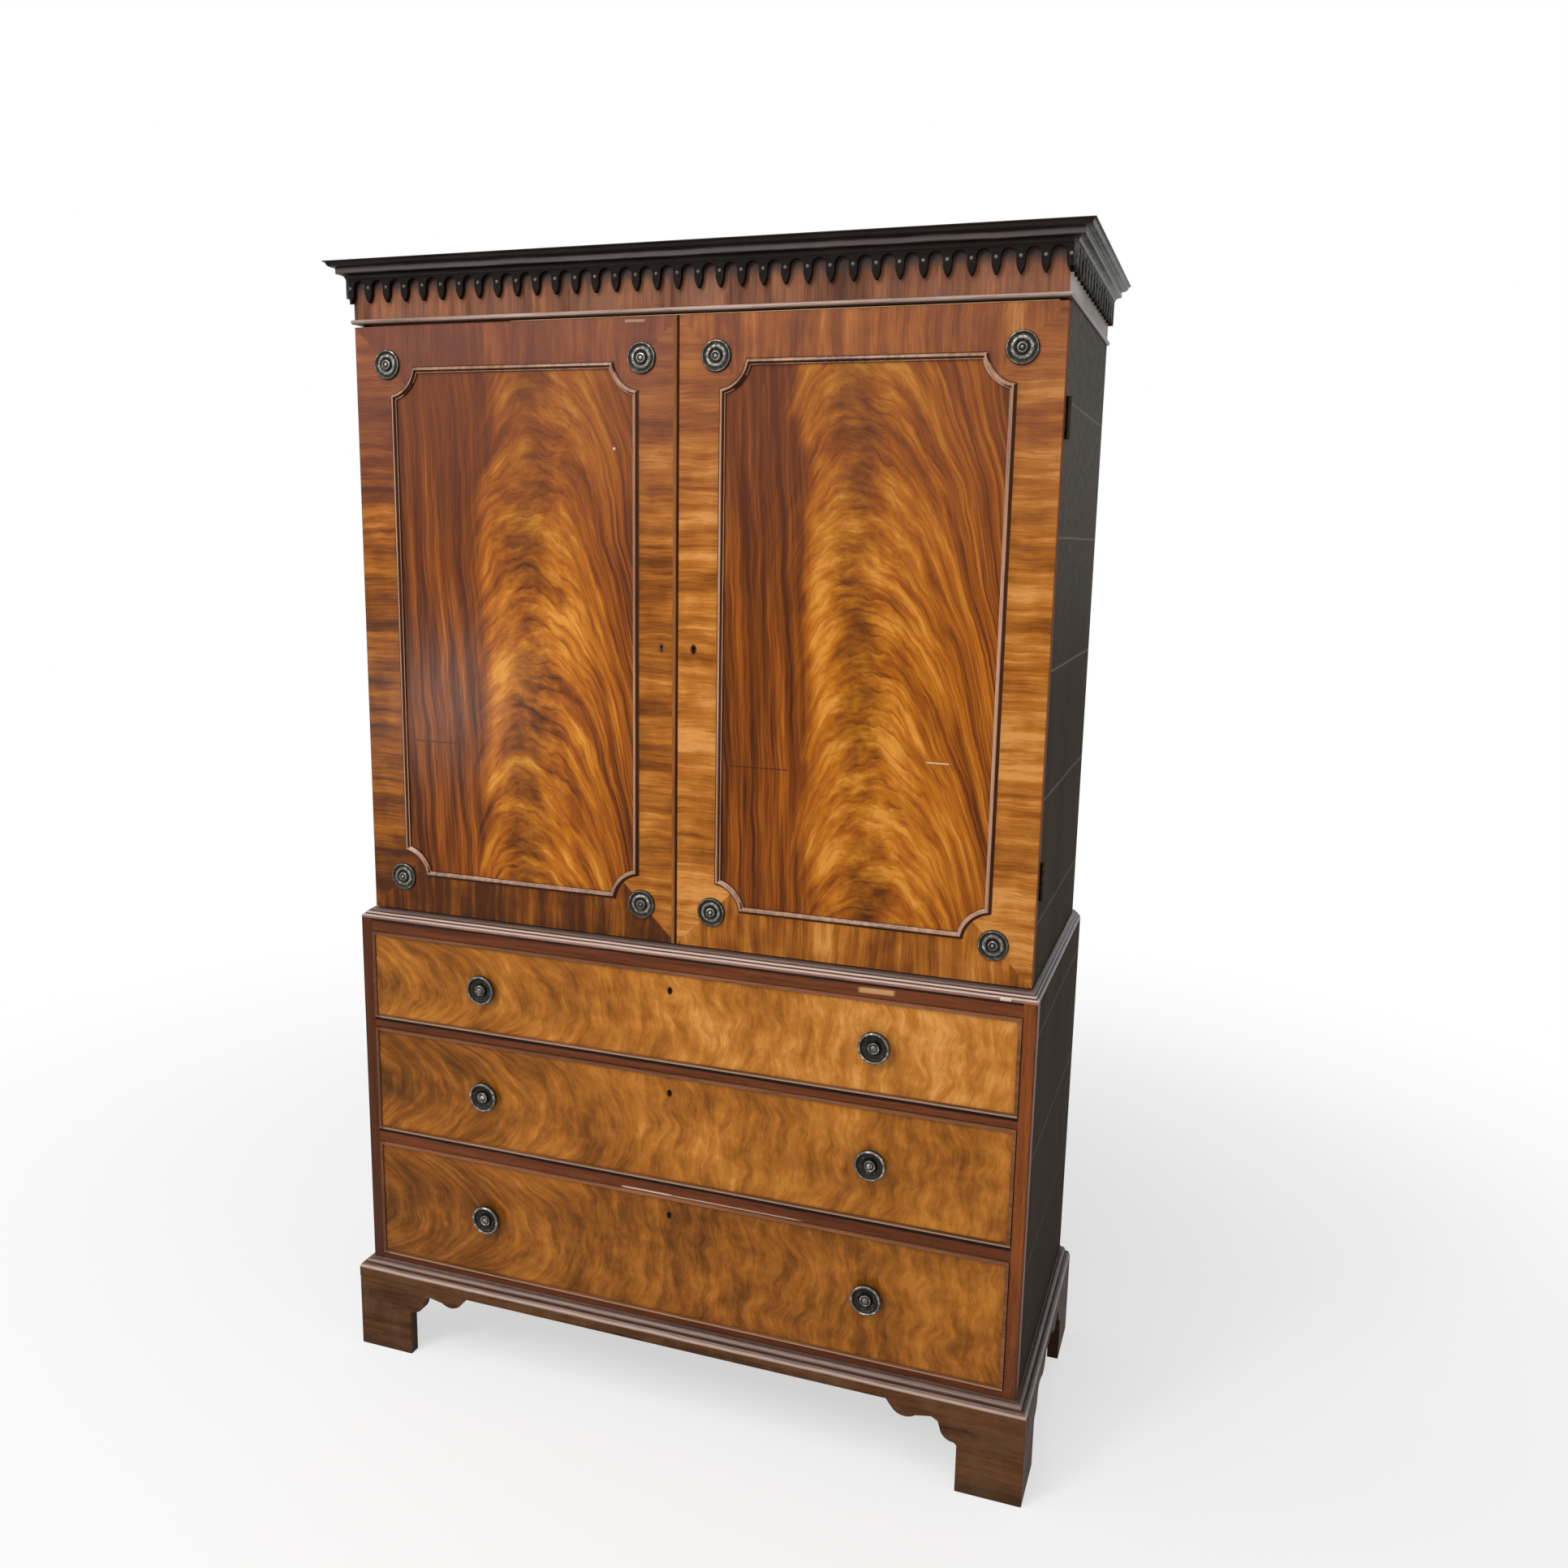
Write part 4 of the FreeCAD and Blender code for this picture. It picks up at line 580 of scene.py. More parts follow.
@dataclass(frozen=True)
class FiguredVeneer:
    """Golden veneer of the drawer fronts: a flame laid on its side that breaks into curls."""

    name: str
    middle: float
    half: float
    seed: float
    tones: tuple[float, float, float, float]
    tone_places: tuple[float, float, float, float] = (-0.57, -0.25, 0.05, 0.50)
    reach: float = 0.65
    face: float = -0.2632
    colours: tuple[Colour, ...] = (
        (0.090, 0.027, 0.003), (0.180, 0.055, 0.005), (0.310, 0.102, 0.011),
        (0.450, 0.165, 0.022), (0.620, 0.275, 0.062))

    def make(self) -> bpy.types.Material:
        """Build the material.

        Returns:
            The material.
        """
        g = Graph(self.name)
        seed = self.seed
        v = g.z - self.middle + 0.012 + (g.cloud((g.x, seed), scale=4) - 0.5) * 0.05
        open_arms = g.step(g.x, 0.00, -0.50) * 9.0 + 1.0
        arms = v * v * open_arms * (0.10 / self.half)
        curl = g.step(g.x, -0.35, 0.15)
        wander = g.cloud((g.x * 5, g.z * 7, seed)) - 0.5
        wave = g.math("SINE", g.z * 74 + g.x * 16 + wander * 11) * 0.0042 * curl
        bend = (g.cloud((g.x * 6, g.z * 9, seed)) - 0.5) * 0.07
        ripple = (g.cloud((g.x * 40, g.z * 50, seed)) - 0.5) * 0.005
        run = g.x + arms + wave + bend + ripple
        broad = g.cloud((run * 9, g.z * 5 + seed), 3)
        strokes = g.cloud((run * 44, g.z * 13 + seed), 3)
        fine = g.cloud((run * 150, g.z * 34 + seed), 3, 0.6)
        cloud = g.cloud((g.x * 6, g.z * 10, seed + 4), 3, 0.55)
        silk = g.cloud((g.x * 34, g.z * 46, seed + 9), 3, 0.6)
        ring = g.math("FRACT", run * 46 + broad * 2.5)
        ring = (1 - ring) ** 4.0 * g.step(cloud, 0.40, 0.58) * g.step(g.x, -0.10, -0.42)
        width = 2 * self.reach
        level = g.ramp((g.x + self.reach) / width, [(tone,) * 3 for tone in self.tones],
                       [(x + self.reach) / width for x in self.tone_places])
        tone = g.layers((broad, 0.55), (strokes, 0.72), (fine, 0.40), (cloud, 0.50),
                        (silk, 0.36)) - ring * 0.13 + level
        butt = g.step(g.x, -0.50, -0.60) * g.step(abs(v), 0.06, 0.01)
        tone = tone - butt * 0.12
        colour = g.ramp(tone, self.colours)
        olive = g.mix(1.0, colour, (0.74, 0.84, 0.9), "MULTIPLY")
        colour = g.mix(butt * 0.6, colour, olive)
        pores = g.step(g.cloud((run * 480, g.z * 60), 1), 0.62, 0.75)
        colour = g.mix(pores * 0.20, colour, (0.070, 0.022, 0.006))
        rubbed = g.step(abs(g.z - self.middle), self.half - 6 * MM, self.half)
        colour = g.mix(rubbed * 0.45, colour, (0.110, 0.040, 0.012))
        keyhole = g.disc((0.0, self.middle + self.half - 37.5 * MM), 5.2 * MM, 0.72)
        colour = g.mix(keyhole, colour, (0.016, 0.009, 0.005))
        colour = g.bare_wood(colour, self.face)
        g.bump(strokes * 0.8 + fine * 0.2, POLISH_RELIEF)
        return g.finish(colour, cloud * 0.10 + 0.24, Specular_IOR_Level=VENEER_GLOSS)


@dataclass(frozen=True)
class PatinatedMetal:
    """Dark brass or steel: bright where it is rubbed, dull in its hollows."""

    name: str
    dark: Colour
    bright: Colour
    polish: float = 0.35
    roughness: float = 0.42
    metallic: float = 0.9

    def make(self) -> bpy.types.Material:
        """Build the material.

        Returns:
            The material.
        """
        g = Graph(self.name)
        cloud = g.noise(g.place, 120, 4, 0.6)
        speck = g.step(g.noise(g.place, 700, 2, 0.5), 0.60, 0.72)
        worn = g.step(cloud, 0.62 - self.polish * 0.3, 0.80)
        colour = g.mix(worn, self.dark, self.bright)
        colour = g.mix(speck * 0.35, colour, tuple(c * 0.35 for c in self.dark))
        g.bump(cloud * 0.7 + speck * 0.3, POLISH_RELIEF)
        return g.finish(colour, self.roughness + 0.14 - worn * 0.22, Metallic=self.metallic)


@dataclass(frozen=True)
class Paper:
    """Plain seamless floor of the studio, which fades to white away from the object."""

    name: str = "studio_floor"

    def make(self) -> bpy.types.Material:
        """Build the material, which takes the object's shadow and is white from afar.

        Returns:
            The material.
        """
        g = Graph(self.name)
        g.finish((0.84, 0.84, 0.84), 0.9, Specular_IOR_Level=0.0)
        white = g.node("ShaderNodeEmission", {"Color": (1.0, 1.0, 1.0), "Strength": 1.0})
        far = g.math("SQRT", g.x ** 2.0 + g.y ** 2.0)
        share = g.step(far, 0.9, 3.2) * 0.40 + 0.60
        mixed = g.node("ShaderNodeMixShader", {
            0: share * g.seen(), 1: Wire(g, g.shader.outputs[0]), 2: white})
        g.feed(g.tree.nodes["Material Output"].inputs["Surface"], mixed)
        return g.material


def rows(levels: Sequence[float], *line: object) -> tuple[Line, ...]:
    """The same line at several levels."""
    return tuple(Line(level, *line) for level in levels)


# Near-black of painted shadow lines under drawers and mouldings.
PAINTED_SHADOW = (0.008, 0.004, 0.003)
PALE = (0.620, 0.460, 0.330)
JOINT = (0.045, 0.015, 0.006)
BARE = (0.125, 0.052, 0.026)
SHELF_MARKS = rows((0.411, 0.616, 0.836, 1.0185, 1.2264, 1.4343, 1.6422, 1.8501),
                   0.0020, (0.230, 0.210, 0.170), 0.6)
# Case sides: a pale patchy haze towards the top that is dust and painted reflection, pale lines
# at the shelves, darker towards the bottom, and bare wood inside.
CASE_MARKS = (Shade((("z", 1.30, 1.86),), (0.165, 0.155, 0.138), 0.62, 0.45), *SHELF_MARKS,
              Shade((("z", 1.40, 0.75),), (0.026, 0.016, 0.009), 0.4),
              Shade((("z", 0.60, 0.25),), (0.016, 0.009, 0.005), 0.6),
              Shade((("side", 0.6330, 0.6320), ("z", 0.912, 0.914)), BARE, 0.8),
              Shade((("side", 0.6485, 0.6475), ("z", 0.900, 0.898)), BARE, 0.8))
# Rails: a painted shadow under each drawer and under the waist moulding, a pale repair patch,
# and pale worn lines on the bottom rail.
RAIL_MARKS = (rows((0.6955, 0.463, 0.1955), 0.0034, PAINTED_SHADOW, 1.2)
              + (Line(0.8955, 0.0022, PAINTED_SHADOW, 1.1),
                 Line(0.8850, 0.0048, (0.560, 0.310, 0.130), 0.9, (0.346, 0.414)),
                 Line(0.4414, 0.0022, PALE, 1.1, (-0.100, 0.010)),
                 Line(0.4412, 0.0015, PALE, 0.8, (-0.020, 0.265))))
STILE_MARKS = (Shade((("x", -0.600, -0.618),), (0.040, 0.011, 0.004), 0.75),
               Shade((("side", 0.646, 0.650),), (0.030, 0.010, 0.006), 0.6),
               Shade((("z", 0.44, 0.22),), (0.050, 0.020, 0.014), 0.6, 0.5))
# Painted highlights along the top of each bottom cockbead; the left beads darker.
BEAD_MARKS = (rows((0.7010, 0.4685, 0.2010), 0.0016, (0.430, 0.270, 0.160), 0.8)
              + (Shade((("x", -0.612, -0.618),), (0.080, 0.030, 0.014), 0.7),))
# Painted shade in the grooves of the reeds and painted highlights on their crests, a pale spot
# near the right end, and painted shade towards the back on the side returns.
WAIST_MARKS = (rows((0.9049, 0.9092), 0.0008, (0.030, 0.014, 0.010), 0.9)
               + rows((0.9030, 0.9072, 0.9125), 0.0012, (0.640, 0.500, 0.430), 0.75)
               + (Line(0.9000, 0.0030, (0.700, 0.560, 0.440), 0.9, (0.588, 0.608)),
                  Shade((("y", -0.254, -0.244),), (0.026, 0.018, 0.015), 0.9)))
# Painted shade in the quirk, painted highlights on the roll and the reed, and patchy painted
# shade on the side returns.
BASE_MARKS = (Line(0.1766, 0.0010, (0.020, 0.010, 0.007), 0.9),
              Line(0.1705, 0.0024, (0.560, 0.430, 0.370), 0.7),
              Line(0.1805, 0.0014, (0.420, 0.300, 0.250), 0.5),
              Shade((("y", -0.275, -0.262),), (0.036, 0.026, 0.021), 0.85, 0.4))
# Painted shade on the side faces of the feet; darker towards the floor.
FOOT_MARKS = (Shade((("y", -0.282, -0.272),), (0.024, 0.015, 0.010), 0.65),
              Shade((("z", 0.045, 0.0),), (0.040, 0.026, 0.014), 0.6, 0.4))
# Dust and painted shade behind the arcade; pale dust and painted reflection on the side returns,
# brighter towards the front corner (painted reflection); bare wood inside.
FRIEZE_MARKS = (Shade((("z", 2.0400, 2.0620),), (0.030, 0.023, 0.022), 0.92),
                Shade((("side", 0.6340, 0.6350), ("y", -0.2355, -0.2340)),
                      (0.200, 0.188, 0.158), 0.85),
                Shade((("side", 0.6340, 0.6350), ("y", -0.02, -0.22)),
                      (0.480, 0.470, 0.420), 0.7),
                Shade((("y", -0.2345, -0.2335), ("side", 0.6340, 0.6330)), BARE, 0.9))
# Painted reflection, grey and patchy, on the side returns of the crown and the arcade.
PAINTED_RETURN_SHEEN = Shade((("side", 0.638, 0.640), ("y", -0.262, -0.240)), (0.150, 0.150, 0.128),
                     0.55, 0.8)

RED = {"dark": (0.055, 0.013, 0.005), "light": (0.185, 0.050, 0.015), "gloss": 0.10}
PINE = {"dark": (0.300, 0.180, 0.085), "light": (0.500, 0.350, 0.190), "roughness": 0.75,
        "gloss": 0.15, "dust_amount": 0.3, "dust": (0.230, 0.160, 0.100)}
OAK = {"dark": (0.270, 0.165, 0.078), "light": (0.470, 0.330, 0.185), "roughness": 0.65,
       "gloss": 0.2}
WAXED = {"roughness": 0.30, "gloss": 0.25}

FINISHES = {finish.name: finish for finish in (
    FlameVeneer("flame_veneer_left", -0.292, 0.0, 3.1, (0.22, 0.67, 0.32),
                (Line(1.2475, 0.0012, JOINT, 0.95, (-0.548, -0.416)),
                 Line(1.7780, 0.0022, PALE, 0.9, (-0.1230, -0.1175))), 0.06, 0.55),
    FlameVeneer("flame_veneer_right", 0.326, -0.052, 11.7, (0.28, 0.75, 0.49),
                (Line(1.2460, 0.0012, JOINT, 0.9, (0.092, 0.211)),
                 Line(1.2768, 0.0012, PALE, 0.9, (0.442, 0.484))), 0.14, 0.40),
    Crossband(),
    FiguredVeneer("figured_veneer_top", 0.7858, 0.087, 2.4, (0.53, 0.56, 0.69, 0.79)),
    FiguredVeneer("figured_veneer_middle", 0.5725, 0.106, 5.2, (0.32, 0.47, 0.55, 0.52)),
    FiguredVeneer("figured_veneer_bottom", 0.3193, 0.120, 8.9, (0.27, 0.40, 0.31, 0.45)),
    SolidWood("case_mahogany", Axis.Z, (0.012, 0.008, 0.004), (0.050, 0.034, 0.021),
              roughness=0.72, gloss=0.03, dust_amount=0.22, dust=(0.088, 0.071, 0.054),
              marks=CASE_MARKS),
    SolidWood("stile_mahogany", Axis.Z, (0.092, 0.020, 0.004), (0.280, 0.078, 0.016),
              gloss=0.10, marks=STILE_MARKS),
    SolidWood("rail_mahogany", Axis.X, **RED, marks=RAIL_MARKS),
    SolidWood("case_bottom_mahogany", Axis.X, **RED),
    SolidWood("bead_mahogany", Axis.X, (0.080, 0.028, 0.010), (0.270, 0.105, 0.044),
              roughness=0.34, gloss=0.15, marks=BEAD_MARKS),
    # Pale colours that are partly a painted highlight, with painted shade on the side return and
    # along the bead's underside.
    SolidWood("frieze_bead_mahogany", Axis.X, (0.115, 0.062, 0.044), (0.430, 0.300, 0.250),
              figure=1.4, **WAXED,
              marks=(Shade((("y", -0.2385, -0.2370),), (0.022, 0.016, 0.013), 0.9),
                     Shade((("z", 1.9985, 1.9965),), (0.020, 0.010, 0.007), 0.8))),
    SolidWood("waist_mahogany", Axis.X, (0.130, 0.060, 0.040), (0.360, 0.195, 0.140),
              **WAXED, marks=WAIST_MARKS),
    SolidWood("base_mahogany", Axis.X, (0.062, 0.027, 0.017), (0.230, 0.125, 0.088),
              **WAXED, marks=BASE_MARKS),
    SolidWood("astragal_mahogany", Axis.Z, (0.130, 0.055, 0.028), (0.420, 0.225, 0.135),
              figure=1.3, roughness=0.24, gloss=0.45),
    # Dark finish of the ring's quirks and of moulding sides that face right or down: wax in the
    # quirks and painted shade.
    SolidWood("wax_and_painted_shade", Axis.Z, (0.020, 0.006, 0.002), (0.070, 0.022, 0.007), gloss=0.08),
    SolidWood("meeting_mahogany", Axis.Z, (0.130, 0.040, 0.008), (0.300, 0.110, 0.026),
              gloss=0.12),
    SolidWood("arcade_mahogany", Axis.X, (0.0032, 0.0022, 0.0018), (0.013, 0.009, 0.007),
              roughness=0.50, gloss=0.05, marks=(PAINTED_RETURN_SHEEN,)),
    SolidWood("foot_mahogany", Axis.X, (0.026, 0.010, 0.004), (0.125, 0.050, 0.019),
              figure=1.3, roughness=0.52, gloss=0.05, dust_amount=0.45,
              dust=(0.150, 0.082, 0.042), marks=FOOT_MARKS),
    # A painted highlight along the crown's ovolo, and painted reflection on the side returns.
    SolidWood("cornice_mahogany", Axis.X, (0.0045, 0.0026, 0.0020), (0.020, 0.012, 0.009),
              roughness=0.30, gloss=0.10,
              dust_amount=0.12, dust=(0.050, 0.036, 0.031), marks=(
                  Line(2.0845, 0.0040, (0.110, 0.088, 0.086), 1.0), PAINTED_RETURN_SHEEN)),
    # Pale grey pearls: partly dust and partly a painted highlight.
    SolidWood("pearl_mahogany", Axis.X, (0.060, 0.050, 0.045), (0.190, 0.170, 0.155),
              roughness=0.34),
    SolidWood("frieze_mahogany", Axis.Z, (0.066, 0.020, 0.008), (0.305, 0.115, 0.052),
              figure=1.3, roughness=0.40, gloss=0.12, dust_amount=0.35,
              dust=(0.120, 0.068, 0.056), marks=FRIEZE_MARKS),
    *(SolidWood(name, grain, **wood) for name, grain, wood in (
        ("pine", Axis.Z, PINE), ("pine_across", Axis.X, PINE), ("pine_deep", Axis.Y, PINE),
        ("oak", Axis.Y, OAK), ("oak_across", Axis.X, OAK))),
    PatinatedMetal("bronze", (0.026, 0.023, 0.019), (0.110, 0.100, 0.084)),
    PatinatedMetal("bronze_rubbed", (0.110, 0.102, 0.088), (0.560, 0.530, 0.470), 0.6, 0.34),
    PatinatedMetal("hinge_brass", (0.030, 0.022, 0.012), (0.130, 0.092, 0.045)),
    PatinatedMetal("lock_brass", (0.300, 0.200, 0.075), (0.560, 0.420, 0.190), 0.6, 0.4),
    PatinatedMetal("bolt_steel", (0.220, 0.215, 0.205), (0.420, 0.410, 0.390), 0.7, 0.34),
    Paper(),
)}


class Workshop:
    """Materials made once each, and how parts and pieces get them."""

    def __init__(self) -> None:
        """Start with no material made."""
        self.made: dict[str, bpy.types.Material] = {}

    def finish(self, name: str) -> bpy.types.Material:
        """Give the material of a finish, which is built at its first use.

        Args:
            name: name of the finish.

        Returns:
            The material.
        """
        if name not in self.made:
            self.made[name] = FINISHES[name].make()
        return self.made[name]

    def dress(self, finish: str, *nodes: str) -> None:
        """Give parts of the frame, whose shape is kept, a finish.

        Args:
            finish: name of the finish.
            nodes: names of the parts.
        """
        for name in nodes:
            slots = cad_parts[name].data.materials
            slots.clear()
            slots.append(self.finish(finish))
            log.info("dressed %s in %s", name, finish)

    def place(self, piece: bpy.types.Object, body: str, slot: str, node: str) -> None:
        """Let a piece ride on a body and stand for a part of the frame.

        Args:
            piece: the finished piece.
            body: the body that it rides on.
            slot: the record's slot that its finish belongs to; not used.
            node: the part that it stands for.
        """
        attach(piece, body)
        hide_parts(node)
        log.info("placed %s on %s: %d faces", piece.name, body, len(piece.data.polygons))


shop = Workshop()


# ------------------------------------------------------------------ meshes
def add_object(name: str, mesh: bpy.types.Mesh, finishes: Sequence[str]) -> bpy.types.Object:
    """Link a mesh as an object at the origin.

    Args:
        name: name of the object.
        mesh: its mesh.
        finishes: names of its finishes, in the order of their numbers.

    Returns:
        The object.
    """
    for finish in finishes:
        mesh.materials.append(shop.finish(finish))
    made = bpy.data.objects.new(name, mesh)
    bpy.context.scene.collection.objects.link(made)
    return made


WELD = 1e-7
PART_WELD = 2e-6
FLAT = math.radians(0.6)
SHARP = math.radians(32)
BEVEL_STEPS = 2
KEY_DIGITS = 6


def to_mesh(name: str, work: bmesh.types.BMesh, crease: float = 38.0) -> bpy.types.Mesh:
    """Turn an edited mesh into a smooth one that is sharp past an angle.

    Args:
        name: name of the mesh.
        work: the edited mesh, which is freed.
        crease: angle in degrees past which an edge stays sharp.

    Returns:
        The mesh.
    """
    for face in work.faces:
        face.smooth = True
    for edge in work.edges:
        edge.smooth = edge.calc_face_angle(0) < math.radians(crease)
    mesh = bpy.data.meshes.new(name)
    work.to_mesh(mesh)
    work.free()
    return mesh


def from_rings(rings: Sequence[Sequence[Point]], closed: bool, capped: bool = False,
               joined: bool = True, tints: Sequence[int] = ()) -> bmesh.types.BMesh:
    """Skin a row of rings that have the same number of points.

    Args:
        rings: the rings in order.
        closed: whether the last ring meets the first.
        capped: whether the two ends are closed by a face.
        joined: whether each ring's last point meets its first.
        tints: number of the finish of each strip, where they differ.

    Returns:
        The skin, its faces outwards and its doubles merged.
    """
    work = bmesh.new()
    grid = [[work.verts.new(point) for point in ring] for ring in rings]
    count = len(grid[0])
    for first, second in zip(grid, grid[1:] + grid[:1] if closed else grid[1:]):
        for i in range(count if joined else count - 1):
            j = (i + 1) % count
            face = work.faces.new((first[i], first[j], second[j], second[i]))
            face.material_index = tints[i] if tints else 0
    if capped:
        work.faces.new(grid[0])
        work.faces.new(list(reversed(grid[-1])))
    bmesh.ops.remove_doubles(work, verts=work.verts, dist=WELD)
    bmesh.ops.dissolve_degenerate(work, edges=work.edges, dist=WELD)
    bmesh.ops.recalc_face_normals(work, faces=work.faces)
    return work


def solids_of(mesh: bpy.types.Mesh) -> list[list[list[Vector]]]:
    """Split a part's loose triangles into its closed solids.

    Args:
        mesh: mesh of a part, whose solids follow one another.

    Returns:
        The triangles of each solid, as corner points.
    """
    solids, current, open_edges = [], [], Counter()
    for polygon in mesh.polygons:
        corners = [mesh.vertices[i].co for i in polygon.vertices]
        keys = [tuple(round(c, KEY_DIGITS) for c in corner) for corner in corners]
        current.append(corners)
        for a, b in zip(keys, keys[1:] + keys[:1]):
            edge = frozenset((a, b))
            open_edges[edge] += 1
            if open_edges[edge] == 2:
                del open_edges[edge]
        if not open_edges:
            solids.append(current)
            current = []
    if current:
        solids.append(current)
    return solids


def ease_part(node: str, finishes: Sequence[str], slot: str, ease: float, body: str = "root",
              second: Callable[[Vector], bool] | None = None, name: str = "") -> None:
    """Let a copy of a part with eased arrises, each solid on its own, stand for the part.

    Args:
        node: the part that is copied.
        finishes: names of its one or two finishes.
        slot: the record's slot that its finish belongs to.
        ease: width of the eased edge.
        body: the body that it rides on.
        second: whether the solid with a given middle takes the second finish.
        name: name of the new piece, where it isn't the part's with a suffix.
    """
    work = bmesh.new()
    for triangles in solids_of(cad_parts[node].data):
        part = bmesh.new()
        for corners in triangles:
            part.faces.new([part.verts.new(corner) for corner in corners])
        bmesh.ops.remove_doubles(part, verts=part.verts, dist=PART_WELD)
        bmesh.ops.dissolve_limit(part, angle_limit=FLAT, verts=part.verts, edges=part.edges)
        corners = [vert.co for vert in part.verts]
        number = int(second(sum(corners, Vector()) / len(corners))) if second else 0
        for face in part.faces:
            face.material_index = number
        scratch = bpy.data.meshes.new("scratch")
        part.to_mesh(scratch)
        part.free()
        work.from_mesh(scratch)
        bpy.data.meshes.remove(scratch)
    name = name or node + "_visual"
    piece = add_object(name, to_mesh(name, work), finishes)
    bevel = piece.modifiers.new("eased_edges", "BEVEL")
    bevel.width = ease
    bevel.segments = BEVEL_STEPS
    bevel.limit_method = "ANGLE"
    bevel.angle_limit = SHARP
    bevel.harden_normals = True
    shop.place(piece, body, slot, node)


class Section:
    """Cross-section of a moulding, drawn from point to point."""

    def __init__(self, *start: Pair) -> None:
        """Start with one or more corners."""
        self.points: list[Pair] = list(start)

    def line(self, *corners: Pair) -> "Section":
        """Go on straight to each corner."""
        self.points += corners
        return self

    def bow(self, end: Pair, bulge: float, steps: int = 6) -> "Section":
        """Go on along a bow.

        Args:
            end: where the bow ends.
            bulge: its height as a share of its chord, positive to the right.
            steps: number of straight pieces.

        Returns:
            The section itself.
        """
        (ax, ay), (bx, by) = self.points[-1], end
        for i in range(1, steps + 1):
            t = i / steps
            out = 4 * t * (1 - t) * bulge
            self.points.append((ax + (bx - ax) * t + (by - ay) * out,
                                ay + (by - ay) * t - (bx - ax) * out))
        return self


@dataclass
class Surround:
    """A moulding mitred round the front and both sides of a case."""

    node: str
    face: Pair
    section: Section
    finish: str
    slot: str
    lower: tuple[str, float] | None = None
    others: list[tuple[Point, Point]] = field(default_factory=list)

    def build(self) -> None:
        """Sweep the section along the three runs and let it stand for the part."""
        low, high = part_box(self.node)
        reach = (high.x - self.face[0], self.face[1] - low.y)
        rise = high.z - low.z
        rings = []
        for sx, rear in ((-1, True), (-1, False), (1, False), (1, True)):
            ring = []
            for share, height in self.section.points:
                y = high.y if rear else self.face[1] - share * reach[1]
                ring.append((sx * (self.face[0] + share * reach[0]), y, low.z + height * rise))
            rings.append(ring)
        work = from_rings(rings, closed=False, capped=True)
        for first, second in self.others:
            add_block(work, first, second)
        finishes = [self.finish]
        if self.lower:
            finishes.append(self.lower[0])
            for face in work.faces:
                share = (face.calc_center_median().z - low.z) / rise
                face.material_index = int(share < self.lower[1])
        piece = add_object(self.node + "_visual", to_mesh(self.node, work), finishes)
        shop.place(piece, "root", self.slot, self.node)


def add_block(work: bmesh.types.BMesh, low: Point, high: Point) -> None:
    """Add a rectangular block.

    Args:
        work: the mesh that it is added to.
        low: its lowest corner.
        high: its highest corner.
    """
    matrix = Matrix.LocRotScale(
        [(a + b) / 2 for a, b in zip(low, high)], None, [b - a for a, b in zip(low, high)])
    bmesh.ops.create_cube(work, size=1.0, matrix=matrix)


def turned(profile: Sequence[tuple[float, float, int]], size: Pair, centre: Point,
           steps: int = 64) -> bmesh.types.BMesh:
    """Turn a profile about an axis that points out of the front.

    Args:
        profile: shares of the radius and height, from the back to the middle of the
            front, with the finish of the strip that follows.
        size: radius and height.
        centre: where the axis meets the face.
        steps: number of facets round the axis.

    Returns:
        The turned surface.
    """
    cx, cy, cz = centre
    radius, height = size
    rings = []
    for i in range(steps):
        angle = 2 * math.pi * i / steps
        rings.append([(cx + r * radius * math.cos(angle), cy - h * height,
                       cz + r * radius * math.sin(angle)) for r, h, _ in profile])
    return from_rings(rings, closed=True, joined=False, tints=[tint for _, _, tint in profile])


def shade_right_and_down(work: bmesh.types.BMesh, past: float, plain: int | None = None) -> bmesh.types.BMesh:
    """Give the sides of a raised moulding that turn right or down the second finish, a painted
    shade.

    Args:
        work: the moulding.
        past: how far a side must turn before it counts.
        plain: number of the finish of the rest, or None to keep it.

    Returns:
        The same moulding.
    """
    work.normal_update()
    for face in work.faces:
        if face.normal.x - face.normal.z > past:
            face.material_index = 1
        elif plain is not None:
            face.material_index = plain
    return work


def merged(name: str, parts: Sequence[tuple[bmesh.types.BMesh | bpy.types.Mesh, int]],
           finishes: Sequence[str], crease: float = 38.0) -> bpy.types.Object:
    """Put several meshes in one object.

    Args:
        name: name of the object.
        parts: each mesh, with what is added to its faces' finish numbers.
        finishes: names of the finishes.
        crease: angle in degrees past which an edge stays sharp.

    Returns:
        The object.
    """
    work = bmesh.new()
    for part, shift in parts:
        if isinstance(part, bmesh.types.BMesh):
            part = to_mesh("part", part, crease)
        start = len(work.faces)
        work.from_mesh(part)
        work.faces.ensure_lookup_table()
        for face in work.faces[start:]:
            face.material_index += shift
        bpy.data.meshes.remove(part)
    return add_object(name, to_mesh(name, work, crease), finishes)


